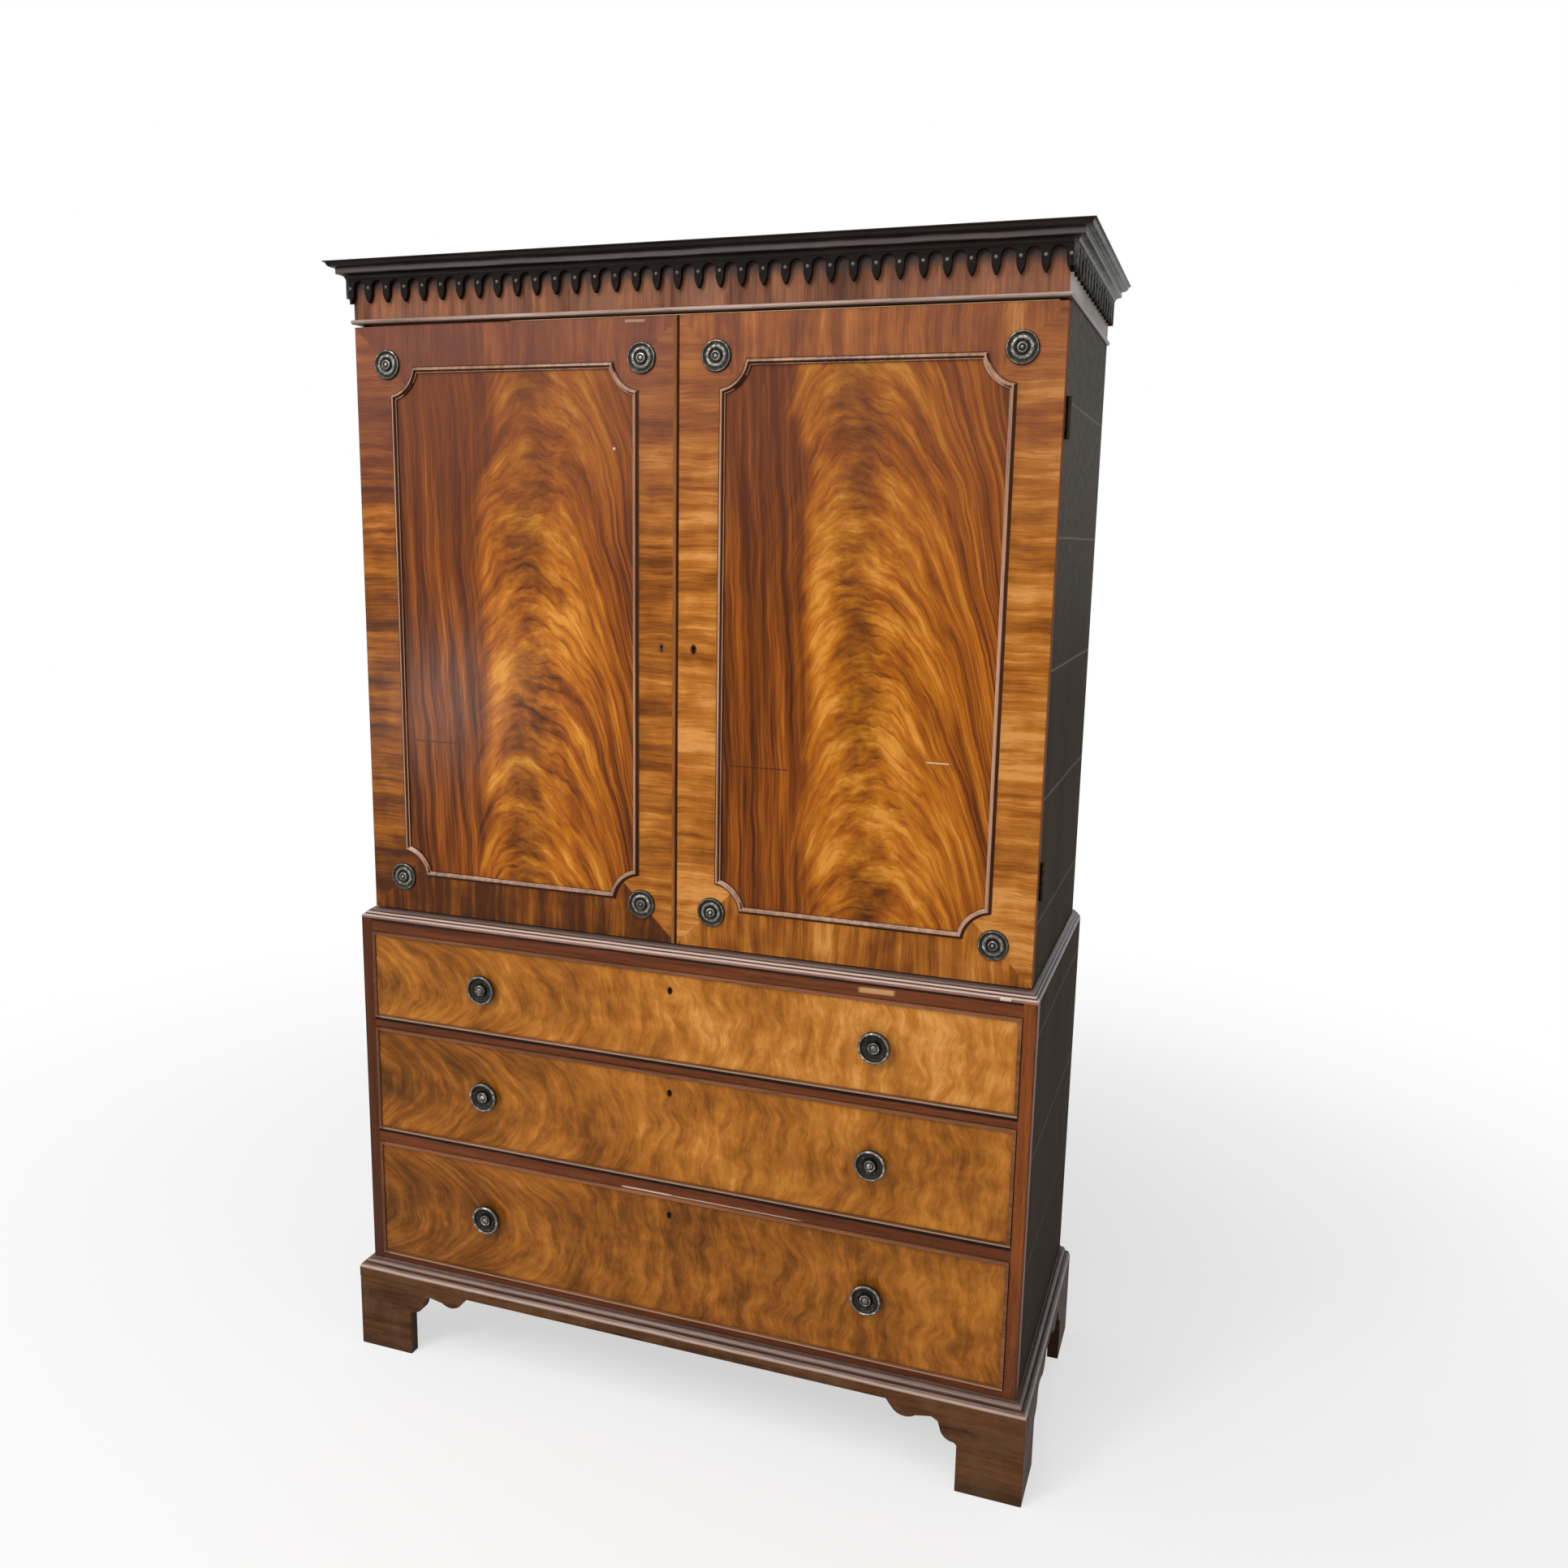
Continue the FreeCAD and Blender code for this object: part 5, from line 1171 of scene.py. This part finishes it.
# ------------------------------------------------------------------ repeated units
class Repeater:
    """Geometry Nodes tree that repeats a unit along a row or round a ring."""

    def __init__(self, name: str, ring: bool) -> None:
        """Build the tree.

        Args:
            name: name of the tree.
            ring: whether the units stand in a ring rather than in a row.
        """
        self.tree = bpy.data.node_groups.new(name, "GeometryNodeTree")
        self.sockets: dict[str, str] = {}
        for label, kind, way in (
                ("Geometry", "Geometry", "OUTPUT"), ("Unit", "Geometry", "INPUT"),
                ("Count", "Int", "INPUT"), ("Start", "Vector", "INPUT"),
                ("Step", "Vector", "INPUT"), ("Radius", "Float", "INPUT"),
                ("Turn", "Vector", "INPUT"), ("Finish", "Material", "INPUT")):
            made = self.tree.interface.new_socket(label, in_out=way,
                                                  socket_type="NodeSocket" + kind)
            self.sockets[label] = made.identifier
        source = self.add("NodeGroupInput")
        spots = self.ring_spots(source) if ring else self.row_spots(source)
        turn = self.add("FunctionNodeEulerToRotation", {"Euler": source.outputs["Turn"]})
        placed = self.add("GeometryNodeInstanceOnPoints", {
            "Points": spots, "Instance": source.outputs["Unit"], "Rotation": turn.outputs[0]})
        solid = self.add("GeometryNodeRealizeInstances", {"Geometry": placed.outputs[0]})
        coloured = self.add("GeometryNodeSetMaterial", {
            "Geometry": solid.outputs[0], "Material": source.outputs["Finish"]})
        self.add("NodeGroupOutput", {"Geometry": coloured.outputs[0]})

    def add(self, kind: str, inputs: dict | None = None) -> bpy.types.Node:
        """Add a node.

        Args:
            kind: the node's type.
            inputs: the outputs that its inputs are linked to, by name.

        Returns:
            The node.
        """
        made = self.tree.nodes.new(kind)
        for key, value in (inputs or {}).items():
            self.tree.links.new(value, made.inputs[key])
        return made

    def row_spots(self, source: bpy.types.Node) -> bpy.types.NodeSocket:
        """Points in a row from Start, one Step apart.

        Args:
            source: the node of the tree's inputs.

        Returns:
            The points.
        """
        line = self.add("GeometryNodeMeshLine", {
            "Count": source.outputs["Count"], "Start Location": source.outputs["Start"],
            "Offset": source.outputs["Step"]})
        return line.outputs[0]

    def ring_spots(self, source: bpy.types.Node) -> bpy.types.NodeSocket:
        """Points in an upright ring about Start.

        Args:
            source: the node of the tree's inputs.

        Returns:
            The points.
        """
        ring = self.add("GeometryNodeMeshCircle", {
            "Vertices": source.outputs["Count"], "Radius": source.outputs["Radius"]})
        moved = self.add("GeometryNodeTransform", {
            "Geometry": ring.outputs[0], "Translation": source.outputs["Start"]})
        moved.inputs["Rotation"].default_value = (math.pi / 2, 0, 0)
        return moved.outputs[0]

    def grow(self, unit: bmesh.types.BMesh, finish: str, **values: object) -> bpy.types.Mesh:
        """Repeat a unit and return the plain mesh.

        Args:
            unit: the unit's mesh, which is freed.
            finish: the finish of the units.
            values: the tree's inputs by their names.

        Returns:
            A mesh with no instances left in it.
        """
        holder = add_object("unit", to_mesh("unit", unit), [finish])
        modifier = holder.modifiers.new("repeat", "NODES")
        modifier.node_group = self.tree
        for label, value in dict(values, Finish=shop.finish(finish)).items():
            modifier[self.sockets[label]] = value
        depsgraph = bpy.context.evaluated_depsgraph_get()
        mesh = bpy.data.meshes.new_from_object(holder.evaluated_get(depsgraph))
        bpy.data.objects.remove(holder)
        return mesh


def ball(radius: float) -> bmesh.types.BMesh:
    """Make a small ball at the origin.

    Args:
        radius: its radius.

    Returns:
        The ball.
    """
    work = bmesh.new()
    bmesh.ops.create_icosphere(work, subdivisions=2, radius=radius)
    return work


# ------------------------------------------------------------------ cornice
@dataclass
class Cornice:
    """Frieze, bead, arcade of pendant drops and crown."""

    arch_pitch: float = 36.5 * MM
    arch_radius: float = 11.8 * MM
    arch_crown: float = 3.6 * MM
    drop: float = 18 * MM
    flank: tuple[Pair, ...] = ((2.6 * MM, 0.38), (0.8 * MM, 0.66), (0.0, 0.92))
    thickness: float = 9 * MM
    pearl: float = 3.6 * MM
    pearl_rise: float = 26 * MM
    pearl_sunk: float = 1.9 * MM
    rear_from: float = 0.2
    face: Pair = field(init=False)

    def __post_init__(self) -> None:
        """Read where the face of the frieze stands on the front and the right side."""
        low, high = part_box("cornice_frame")
        self.face = (high.x, low.y)

    def build(self) -> None:
        """Build the crown, the bead, the arcade and the frieze."""
        crown = Section((0, 0)).line((0.27, 0), (0.27, 0.04)).bow((0.54, 0.26), -0.20)
        crown.line((0.575, 0.27), (0.58, 0.30), (0.58, 0.59), (0.60, 0.62))
        crown.bow((0.90, 0.89), 0.22).line((0.91, 0.905), (0.99, 0.925), (1, 0.94), (1, 0.985),
                                           (0.985, 1), (0, 1))
        Surround("crown_moulding", self.face, crown, "cornice_mahogany",
                 "cornice_mahogany").build()
        bead = Section((0, 0)).line((0.36, 0)).bow((1, 0.5), 0.20, 7).bow((0.36, 1), 0.20, 7)
        bead.line((0, 1))
        Surround("frieze_bead", self.face, bead, "frieze_bead_mahogany",
                 "cornice_mahogany").build()
        self.arcade()
        ease_part("cornice_frame", ["frieze_mahogany", "pine_across"], "frieze_mahogany",
                  0.6 * MM, second=lambda middle: middle.y > self.rear_from)

    def bay(self, pitch: float, height: float) -> bmesh.types.BMesh:
        """One arch with half a pendant drop on each side, its back at y = 0.

        Args:
            pitch: width of the bay.
            height: height of the strip.

        Returns:
            The bay, its lowest point at z = 0.
        """
        half, r, t = pitch / 2, self.arch_radius, self.thickness
        spring = height - self.arch_crown - r
        right = [(half, 0.6 * MM), (half - 1.3 * MM, 1.4 * MM),
                 *((r + out, self.drop * share) for out, share in self.flank), (r, spring)]
        arc = [(r * math.cos(a), spring + r * math.sin(a))
               for a in (math.pi * i / 12 for i in range(1, 12))]
        left = [(-x, z) for x, z in reversed(right)]
        rings = [[(x, 0, z), (x, -t + 1.1 * MM, z), (x, -t, z + 0.9 * MM), (x, -t, height),
                  (x, 0, height)] for x, z in right + arc + left]
        return from_rings(rings, closed=False, capped=True)

    def arcade(self) -> None:
        """Rows of bays on the front and both sides, with a pearl on every drop.

        Each row is given by its length, start, direction and turn, by how many pearls it
        skips at its start, and by how many it has more than bays.
        """
        low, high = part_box("arcade_moulding")
        x, y = self.face
        front_run, side_run = 2 * x, high.y - y
        height = high.z - low.z
        row = Repeater("row_of_bays", ring=False)
        quarter = math.pi / 2
        parts: list[bpy.types.Mesh] = []
        pearls: list[bpy.types.Mesh] = []
        for run, start, step, turn, skip, extra in (
                (front_run, Vector((-x, y, 0)), Vector((1, 0, 0)), 0.0, 0, 1),
                (side_run, Vector((x, y, 0)), Vector((0, 1, 0)), quarter, 0, 0),
                (side_run, Vector((-x, high.y, 0)), Vector((0, -1, 0)), -quarter, 1, 0)):
            out = step.cross(Vector((0, 0, 1)))
            count = int(run / self.arch_pitch)
            pitch = run / count
            base = start + Vector((0, 0, low.z))
            parts.append(row.grow(self.bay(pitch, height), "arcade_mahogany", Count=count,
                                  Start=base + step * pitch / 2, Step=step * pitch,
                                  Turn=(0, 0, turn)))
            spot = (base + out * (self.thickness - self.pearl_sunk)
                    + Vector((0, 0, self.pearl_rise)))
            pearls.append(row.grow(ball(self.pearl), "pearl_mahogany", Count=count + extra,
                                   Start=spot + step * pitch * skip, Step=step * pitch,
                                   Turn=(0, 0, turn)))
        corners = bmesh.new()
        for side in (-1, 1):
            ends = sorted((side * x, side * (x + self.thickness)))
            add_block(corners, (ends[0], y - self.thickness, low.z + self.drop * 0.5),
                      (ends[1], y, high.z))
        pieces = [(part, 0) for part in parts + [corners]] + [(part, 1) for part in pearls]
        piece = merged("arcade_visual", pieces, ["arcade_mahogany", "pearl_mahogany"])
        shop.place(piece, "root", "cornice_mahogany", "arcade_moulding")


# ------------------------------------------------------------------ cases
@dataclass
class Case:
    """Door case and drawer case: boards, mouldings, feet and the parts inside."""

    stile_from: float = 0.6
    base_under: float = 40 * MM
    base_reach: float = 21.5 * MM

    def build(self) -> None:
        """Ease the boards that show, and dress the rest."""
        self.mouldings()
        for side in ("left", "right"):
            for case in ("lower", "upper"):
                ease_part(f"{case}_side_{side}", ["case_mahogany"], "carcase_mahogany", 1.0 * MM)
            ease_part(f"foot_front_{side}", ["foot_mahogany"], "foot_mahogany", 1.2 * MM)
        ease_part("rear_feet", ["foot_mahogany"], "foot_mahogany", 1.2 * MM)
        ease_part("drawer_front_frame", ["rail_mahogany", "stile_mahogany"], "front_mahogany",
                  0.5 * MM, second=lambda middle: abs(middle.x) > self.stile_from,
                  name="front_frame_visual")
        for node in ("lower_back_boards", "upper_back_boards"):
            ease_part(node, ["pine"], "pine", 0.8 * MM)
        shop.dress("rail_mahogany", "lower_top_board")
        shop.dress("case_bottom_mahogany", "lower_bottom_board")
        shop.dress("pine_across", "upper_top_board", "upper_bottom_board")
        shop.dress("pine_deep", "drawer_supports", "tray_runners")
        shop.dress("hinge_brass", "case_hinges")

    def mouldings(self) -> None:
        """Reeded waist moulding with its ledge, and the base moulding."""
        upper_low, upper_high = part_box("upper_side_right")
        doors_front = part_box("door_right_frame")[0].y
        drawers_low, drawers_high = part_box("drawer_front_frame")
        waist_low, waist_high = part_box("waist_moulding")
        waist = Section((0, 0)).line((0.985, 0), (1, 0.04), (1, 0.12))
        waist.bow((0.76, 0.46), 0.16, 5).line((0.74, 0.43)).bow((0.50, 0.74), 0.15, 5)
        waist.line((0.48, 0.71)).bow((0.20, 0.95), 0.13, 5).line((0.16, 1.0), (0, 1.0))
        ledge = ((-upper_high.x, doors_front, waist_low.z),
                 (upper_high.x, upper_low.y, waist_high.z))
        Surround("waist_moulding", (upper_high.x, doors_front), waist, "waist_mahogany",
                 "moulding_mahogany", others=[ledge]).build()
        under = -self.base_under / self.base_reach
        base = Section((under, 0)).line((0.985, 0), (1, 0.03), (1, 0.50))
        base.bow((0.60, 0.755), 0.20, 7).line((0.57, 0.735)).bow((0.12, 0.935), 0.20, 6)
        base.line((0.10, 0.955), (0.06, 1.0), (under, 1.0))
        Surround("base_moulding", (drawers_high.x, drawers_low.y), base, "base_mahogany",
                 "moulding_mahogany", lower=("foot_mahogany", 0.45)).build()


# ------------------------------------------------------------------ doors
PATERA = ((0.0, 0.0, 0), (1.0, 0.0, 0), (1.0, 0.20, 0), (0.985, 0.40, 0), (0.945, 0.52, 1),
          (0.90, 0.56, 0), (0.85, 0.50, 0), (0.80, 0.34, 0), (0.76, 0.28, 0), (0.73, 0.32, 0),
          (0.68, 0.46, 1), (0.60, 0.56, 1), (0.52, 0.58, 0), (0.45, 0.48, 0), (0.40, 0.34, 0),
          (0.37, 0.32, 0), (0.34, 0.42, 0), (0.325, 0.62, 1), (0.28, 0.76, 1), (0.22, 0.78, 0),
          (0.18, 0.64, 0), (0.15, 0.60, 0), (0.12, 0.74, 1), (0.08, 0.92, 1), (0.0, 0.96, 1))

KNOB = ((0.0, 0.0, 0), (0.46, 0.0, 0), (0.46, 0.07, 0), (0.40, 0.13, 0), (0.35, 0.20, 0),
        (0.36, 0.28, 0), (0.45, 0.33, 0), (0.66, 0.37, 0), (0.88, 0.40, 0), (0.965, 0.44, 0),
        (0.995, 0.52, 0), (1.0, 0.62, 0), (0.99, 0.74, 1), (0.965, 0.83, 1),
        (0.925, 0.885, 1), (0.885, 0.89, 1), (0.85, 0.86, 1), (0.825, 0.80, 0),
        (0.80, 0.70, 0), (0.765, 0.62, 0), (0.71, 0.585, 0), (0.60, 0.575, 0),
        (0.50, 0.565, 0), (0.455, 0.545, 0), (0.44, 0.50, 0), (0.415, 0.50, 0),
        (0.395, 0.56, 0), (0.385, 0.72, 0), (0.35, 0.82, 1), (0.295, 0.85, 1),
        (0.255, 0.81, 0), (0.23, 0.78, 0), (0.20, 0.83, 1), (0.15, 0.94, 1),
        (0.08, 0.99, 1), (0.0, 1.0, 1))

NUT = ((0.0, 0.0, 0), (1.0, 0.0, 0), (1.0, 0.9, 0), (0.9, 1.0, 0), (0.0, 1.0, 0))


@dataclass
class Door:
    """One panelled door with its ring moulding, paterae and fittings."""

    side: int
    centres_x: Pair = (0.0675, 0.5685)
    centres_z: Pair = (0.9815, 1.925)
    stile: Pair = (0.0785, 0.5575)
    rail: Pair = (0.9915, 1.915)
    corner: float = 57 * MM
    corner_steps: int = 10
    ring_half: float = 5.5 * MM
    ring_height: float = 6 * MM
    patera: Pair = (26 * MM, 8 * MM)
    petals: int = 12
    petal: float = 2.5 * MM
    name: str = field(init=False)
    face: float = field(init=False)

    def __post_init__(self) -> None:
        """Read which door it is and where its face stands."""
        self.name = "door_right" if self.side > 0 else "door_left"
        self.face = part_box(self.name + "_frame")[0].y

    def build(self) -> None:
        """Dress the frame, panel and fittings, and build the ring and the paterae."""
        shop.dress("crossband_veneer", self.name + "_frame")
        shop.dress(self.name.replace("door", "flame_veneer"), self.name + "_panel")
        self.moulding()
        self.paterae()
        if self.side > 0:
            shop.dress("hinge_brass", "door_right_hinges")
            shop.dress("lock_brass", "door_right_lock")
            shop.dress("bolt_steel", "door_right_lock_bolt")
        else:
            shop.dress("hinge_brass", "door_left_hinges_and_plates")
            shop.dress("bolt_steel", "door_left_top_bolt", "door_left_bottom_bolt")

    def path(self) -> list[Pair]:
        """Lay out the closed line that the ring follows, for the right door.

        Returns:
            Its corners, anticlockwise from in front.
        """
        points: list[Pair] = []
        middle_x = sum(self.stile) / 2
        middle_z = sum(self.rail) / 2
        for number, (ix, iz) in enumerate(((0, 0), (1, 0), (1, 1), (0, 1))):
            cx, cz = self.centres_x[ix], self.centres_z[iz]
            dx, dz = self.stile[ix] - cx, self.rail[iz] - cz
            on_stile = math.atan2(math.copysign(
                math.sqrt(self.corner ** 2 - dx ** 2), middle_z - cz), dx)
            on_rail = math.atan2(dz, math.copysign(
                math.sqrt(self.corner ** 2 - dz ** 2), middle_x - cx))
            first, last = (on_stile, on_rail) if number % 2 == 0 else (on_rail, on_stile)
            turn = (last - first + math.pi) % (2 * math.pi) - math.pi
            for i in range(self.corner_steps + 1):
                angle = first + turn * i / self.corner_steps
                points.append((cx + self.corner * math.cos(angle),
                               cz + self.corner * math.sin(angle)))
        return points

    def moulding(self) -> None:
        """Ring about the panel, mitred at each turn, and the bead of the left door."""
        path = self.path()
        half, top = self.ring_half, self.ring_height
        section = Section((-half, -2 * MM)).line((-half, 1.0 * MM), (-half * 0.72, 1.5 * MM))
        section.bow((half * 0.72, 1.5 * MM), -0.43, 10).line((half, 1.0 * MM), (half, -2 * MM))
        rings = []
        for i, (px, pz) in enumerate(path):
            before, after = path[i - 1], path[(i + 1) % len(path)]
            ways = []
            for (ax, az), (bx, bz) in ((before, (px, pz)), ((px, pz), after)):
                length = math.hypot(bx - ax, bz - az)
                ways.append(((bx - ax) / length, (bz - az) / length))
            nx, nz = -(ways[0][1] + ways[1][1]), ways[0][0] + ways[1][0]
            length = math.hypot(nx, nz)
            nx, nz = nx / length, nz / length
            stretch = 1 / max(-ways[0][1] * nx + ways[0][0] * nz, 0.3)
            rings.append([(self.side * (px + nx * out * stretch),
                           self.face - min(rise, top), pz + nz * out * stretch)
                          for out, rise in section.points])
        # The ring's outer edges take the dark finish too: wax and painted shade where it meets
        # the frame and the panel.
        tints = [int(abs(out) > half * 0.74) for out, _ in section.points]
        parts = [(shade_right_and_down(from_rings(rings, closed=True, tints=tints), past=0.42), 0)]
        node = "door_right_moulding"
        if self.side < 0:
            node = "door_left_mouldings"
            parts.append((shade_right_and_down(self.meeting_bead(), past=0.25, plain=2), 0))
        piece = merged(self.name + "_moulding_visual", parts,
                       ["astragal_mahogany", "wax_and_painted_shade", "meeting_mahogany"], 50)
        shop.place(piece, self.name, "moulding_mahogany", node)

    def meeting_bead(self) -> bmesh.types.BMesh:
        """Rounded bead down the left door's meeting edge.

        Returns:
            The bead.
        """
        edge, chord = -1 * MM, 8 * MM
        section = Section((edge, 0)).line((edge, 0.7 * MM))
        section.bow((edge - chord, 0.7 * MM), 0.12, 8).line((edge - chord, 0))
        rings = [[(x, self.face - out, corner.z) for x, out in section.points]
                 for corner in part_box("door_left_frame")]
        return from_rings(rings, closed=False, capped=True)

    def paterae(self) -> None:
        """Four turned paterae, each with a ring of petals round its boss."""
        radius, height = self.patera
        ring = Repeater("ring_of_petals", ring=True)
        parts: list[tuple[bmesh.types.BMesh | bpy.types.Mesh, int]] = []
        for x in self.centres_x:
            for z in self.centres_z:
                centre = (x * self.side, self.face, z)
                parts.append((turned(PATERA, self.patera, centre), 0))
                petals = ring.grow(ball(self.petal), "bronze_rubbed", Count=self.petals,
                                   Radius=radius * 0.60,
                                   Start=(centre[0], self.face - height * 0.34, z))
                parts.append((petals, 1))
        piece = merged(self.name + "_paterae_visual", parts, ["bronze", "bronze_rubbed"], 50)
        shop.place(piece, self.name, "bronze", self.name + "_paterae")


# ------------------------------------------------------------------ drawers and trays
@dataclass
class Drawer:
    """A long drawer: figured front, cockbeads, knobs, lock and box."""

    name: str
    knob_spread: float = 382 * MM
    knob: Pair = (28.5 * MM, 20 * MM)
    nut: Pair = (7 * MM, 5 * MM)
    post: Pair = (3 * MM, 3 * MM)
    across_within: float = 0.3

    def build(self) -> None:
        """Ease the front, the beads and the box, turn the knobs and dress the lock."""
        level = self.name.split("_")[0]
        ease_part(self.name + "_front", ["figured_veneer_" + level], "figured_veneer", 0.4 * MM,
                  self.name)
        ease_part(self.name + "_cockbead", ["bead_mahogany"], "moulding_mahogany", 1.3 * MM,
                  self.name)
        ease_part(self.name + "_box", ["oak", "oak_across"], "oak", 0.7 * MM, self.name,
                  second=lambda middle: abs(middle.x) < self.across_within)
        self.knobs()
        shop.dress("lock_brass", self.name + "_lock")
        shop.dress("bolt_steel", self.name + "_lock_bolt")

    def knobs(self) -> None:
        """Dished knobs with a rolled rim and a centre button, and their nuts."""
        node = self.name + "_knobs"
        middle = sum(corner.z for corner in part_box(node)) / 2
        face, back = (corner.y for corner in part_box(self.name + "_front"))
        parts = []
        for side in (-1, 1):
            x = side * self.knob_spread
            parts.append((turned(KNOB, self.knob, (x, face, middle), 72), 0))
            for (radius, height), start, steps in (
                    (self.nut, back, 6), (self.post, back + self.nut[1], 20)):
                parts.append((turned(NUT, (radius, -height), (x, start, middle), steps), 0))
        piece = merged(node + "_visual", parts, ["bronze", "bronze_rubbed"], 50)
        shop.place(piece, self.name, "bronze", node)


@dataclass
class Tray:
    """A sliding tray of the door case."""

    name: str
    side_from: float = 0.5

    def build(self) -> None:
        """Ease the boards of the tray."""
        ease_part(self.name, ["oak_across", "oak"], "oak", 1.0 * MM, self.name,
                  second=lambda middle: abs(middle.x) > self.side_from)


# ------------------------------------------------------------------ studio
@dataclass(frozen=True)
class Lamp:
    """Square soft lamp: its place and aim, the length of its side, and its power in watts."""

    name: str
    place: Point
    aim: Point
    size: float
    power: float

    def hang(self, scene: bpy.types.Scene) -> None:
        """Hang the lamp, turned to its aim.

        Args:
            scene: the scene that it hangs in.
        """
        data = bpy.data.lights.new(self.name, "AREA")
        data.size = self.size
        data.energy = self.power
        lamp = bpy.data.objects.new(self.name, data)
        way = Vector(self.aim) - Vector(self.place)
        lamp.matrix_world = (Matrix.Translation(self.place)
                             @ way.to_track_quat("-Z", "Y").to_matrix().to_4x4())
        scene.collection.objects.link(lamp)


@dataclass
class Studio:
    """Camera, soft lights, white surroundings and a plain floor."""

    eye: Point = (0.9282, -2.34085, 1.6337)
    right: Point = (0.9435, 0.3309, 0.0193)
    up: Point = (-0.0781, 0.1653, 0.9832)
    lens: float = 30.54
    sensor: float = 36.0
    sight: float = 60.0
    floor_half: float = 14.0
    glow: float = 0.42
    lamps: tuple[Lamp, ...] = (
        Lamp("overhead", (-0.3, -2.4, 4.4), (0.0, -0.2, 1.2), 2.2, 85),
        Lamp("key", (-1.9, -3.8, 3.8), (0.0, -0.2, 1.1), 1.1, 70),
        Lamp("far_left", (-5.2, -1.9, 2.8), (0.0, -0.2, 1.0), 2.2, 40),
        Lamp("far_right", (4.6, -2.4, 2.6), (0.3, -0.2, 1.2), 2.2, 22),
        Lamp("card", (-2.13, -2.76, 0.965), (-0.46, -0.235, 1.33), 0.34, 8.0))

    def build(self) -> None:
        """Set the whole studio up."""
        scene = bpy.context.scene
        scene.view_settings.view_transform = "Standard"
        self.camera(scene)
        self.surroundings(scene)
        self.floor()
        for lamp in self.lamps:
            lamp.hang(scene)

    def camera(self, scene: bpy.types.Scene) -> None:
        """Set up the camera, level with the doors and a little to the right of the middle.

        Args:
            scene: the scene that it looks at.
        """
        across = Vector(self.right).normalized()
        back = across.cross(Vector(self.up)).normalized()
        upward = back.cross(across)
        data = bpy.data.cameras.new("camera")
        data.lens = self.lens
        data.sensor_width = self.sensor
        data.clip_end = self.sight
        camera = bpy.data.objects.new("camera", data)
        turn = Matrix((across, upward, back)).transposed().to_4x4()
        camera.matrix_world = Matrix.Translation(self.eye) @ turn
        scene.collection.objects.link(camera)
        scene.camera = camera

    def surroundings(self, scene: bpy.types.Scene) -> None:
        """Soft even light, and white where the camera or a reflection sees past the floor.

        Args:
            scene: the scene that is lit.
        """
        world = bpy.data.worlds.new("surroundings")
        world.use_nodes = True
        scene.world = world
        tree = Tree(world.node_tree)
        plain = world.node_tree.nodes["Background"]
        tree.feed(plain.inputs["Color"], (1.0, 1.0, 1.0))
        tree.feed(plain.inputs["Strength"], self.glow)
        white = tree.node("ShaderNodeBackground", {"Color": (1.0, 1.0, 1.0), "Strength": 1.0})
        mixed = tree.node("ShaderNodeMixShader", {
            0: tree.seen(), 1: Wire(tree, plain.outputs[0]), 2: white})
        tree.feed(world.node_tree.nodes["World Output"].inputs["Surface"], mixed)

    def floor(self) -> None:
        """Wide pale floor."""
        work = bmesh.new()
        bmesh.ops.create_grid(work, x_segments=1, y_segments=1, size=self.floor_half)
        floor = add_object("floor", to_mesh("floor", work), ["studio_floor"])
        floor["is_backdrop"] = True


def plain_box(box: tuple[Vector, Vector]) -> list[list[float]]:
    """Corners of a box as plain lists of numbers."""
    return [list(corner) for corner in box]


def main() -> None:
    """Build every sub-assembly, then the studio."""
    logging.basicConfig(level=logging.INFO, format="%(name)s: %(message)s")
    cad_box = plain_box(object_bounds())
    Cornice().build()
    Case().build()
    for side in (-1, 1):
        Door(side).build()
    for name in ("top_drawer", "middle_drawer", "bottom_drawer"):
        Drawer(name).build()
    for number in range(1, 6):
        Tray(f"tray_{number}").build()
    Studio().build()
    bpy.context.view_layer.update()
    for name, box in (("solids", cad_box), ("visual", plain_box(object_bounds()))):
        log.info("%s box %s", name, box)


if __name__ == "__main__":
    main()
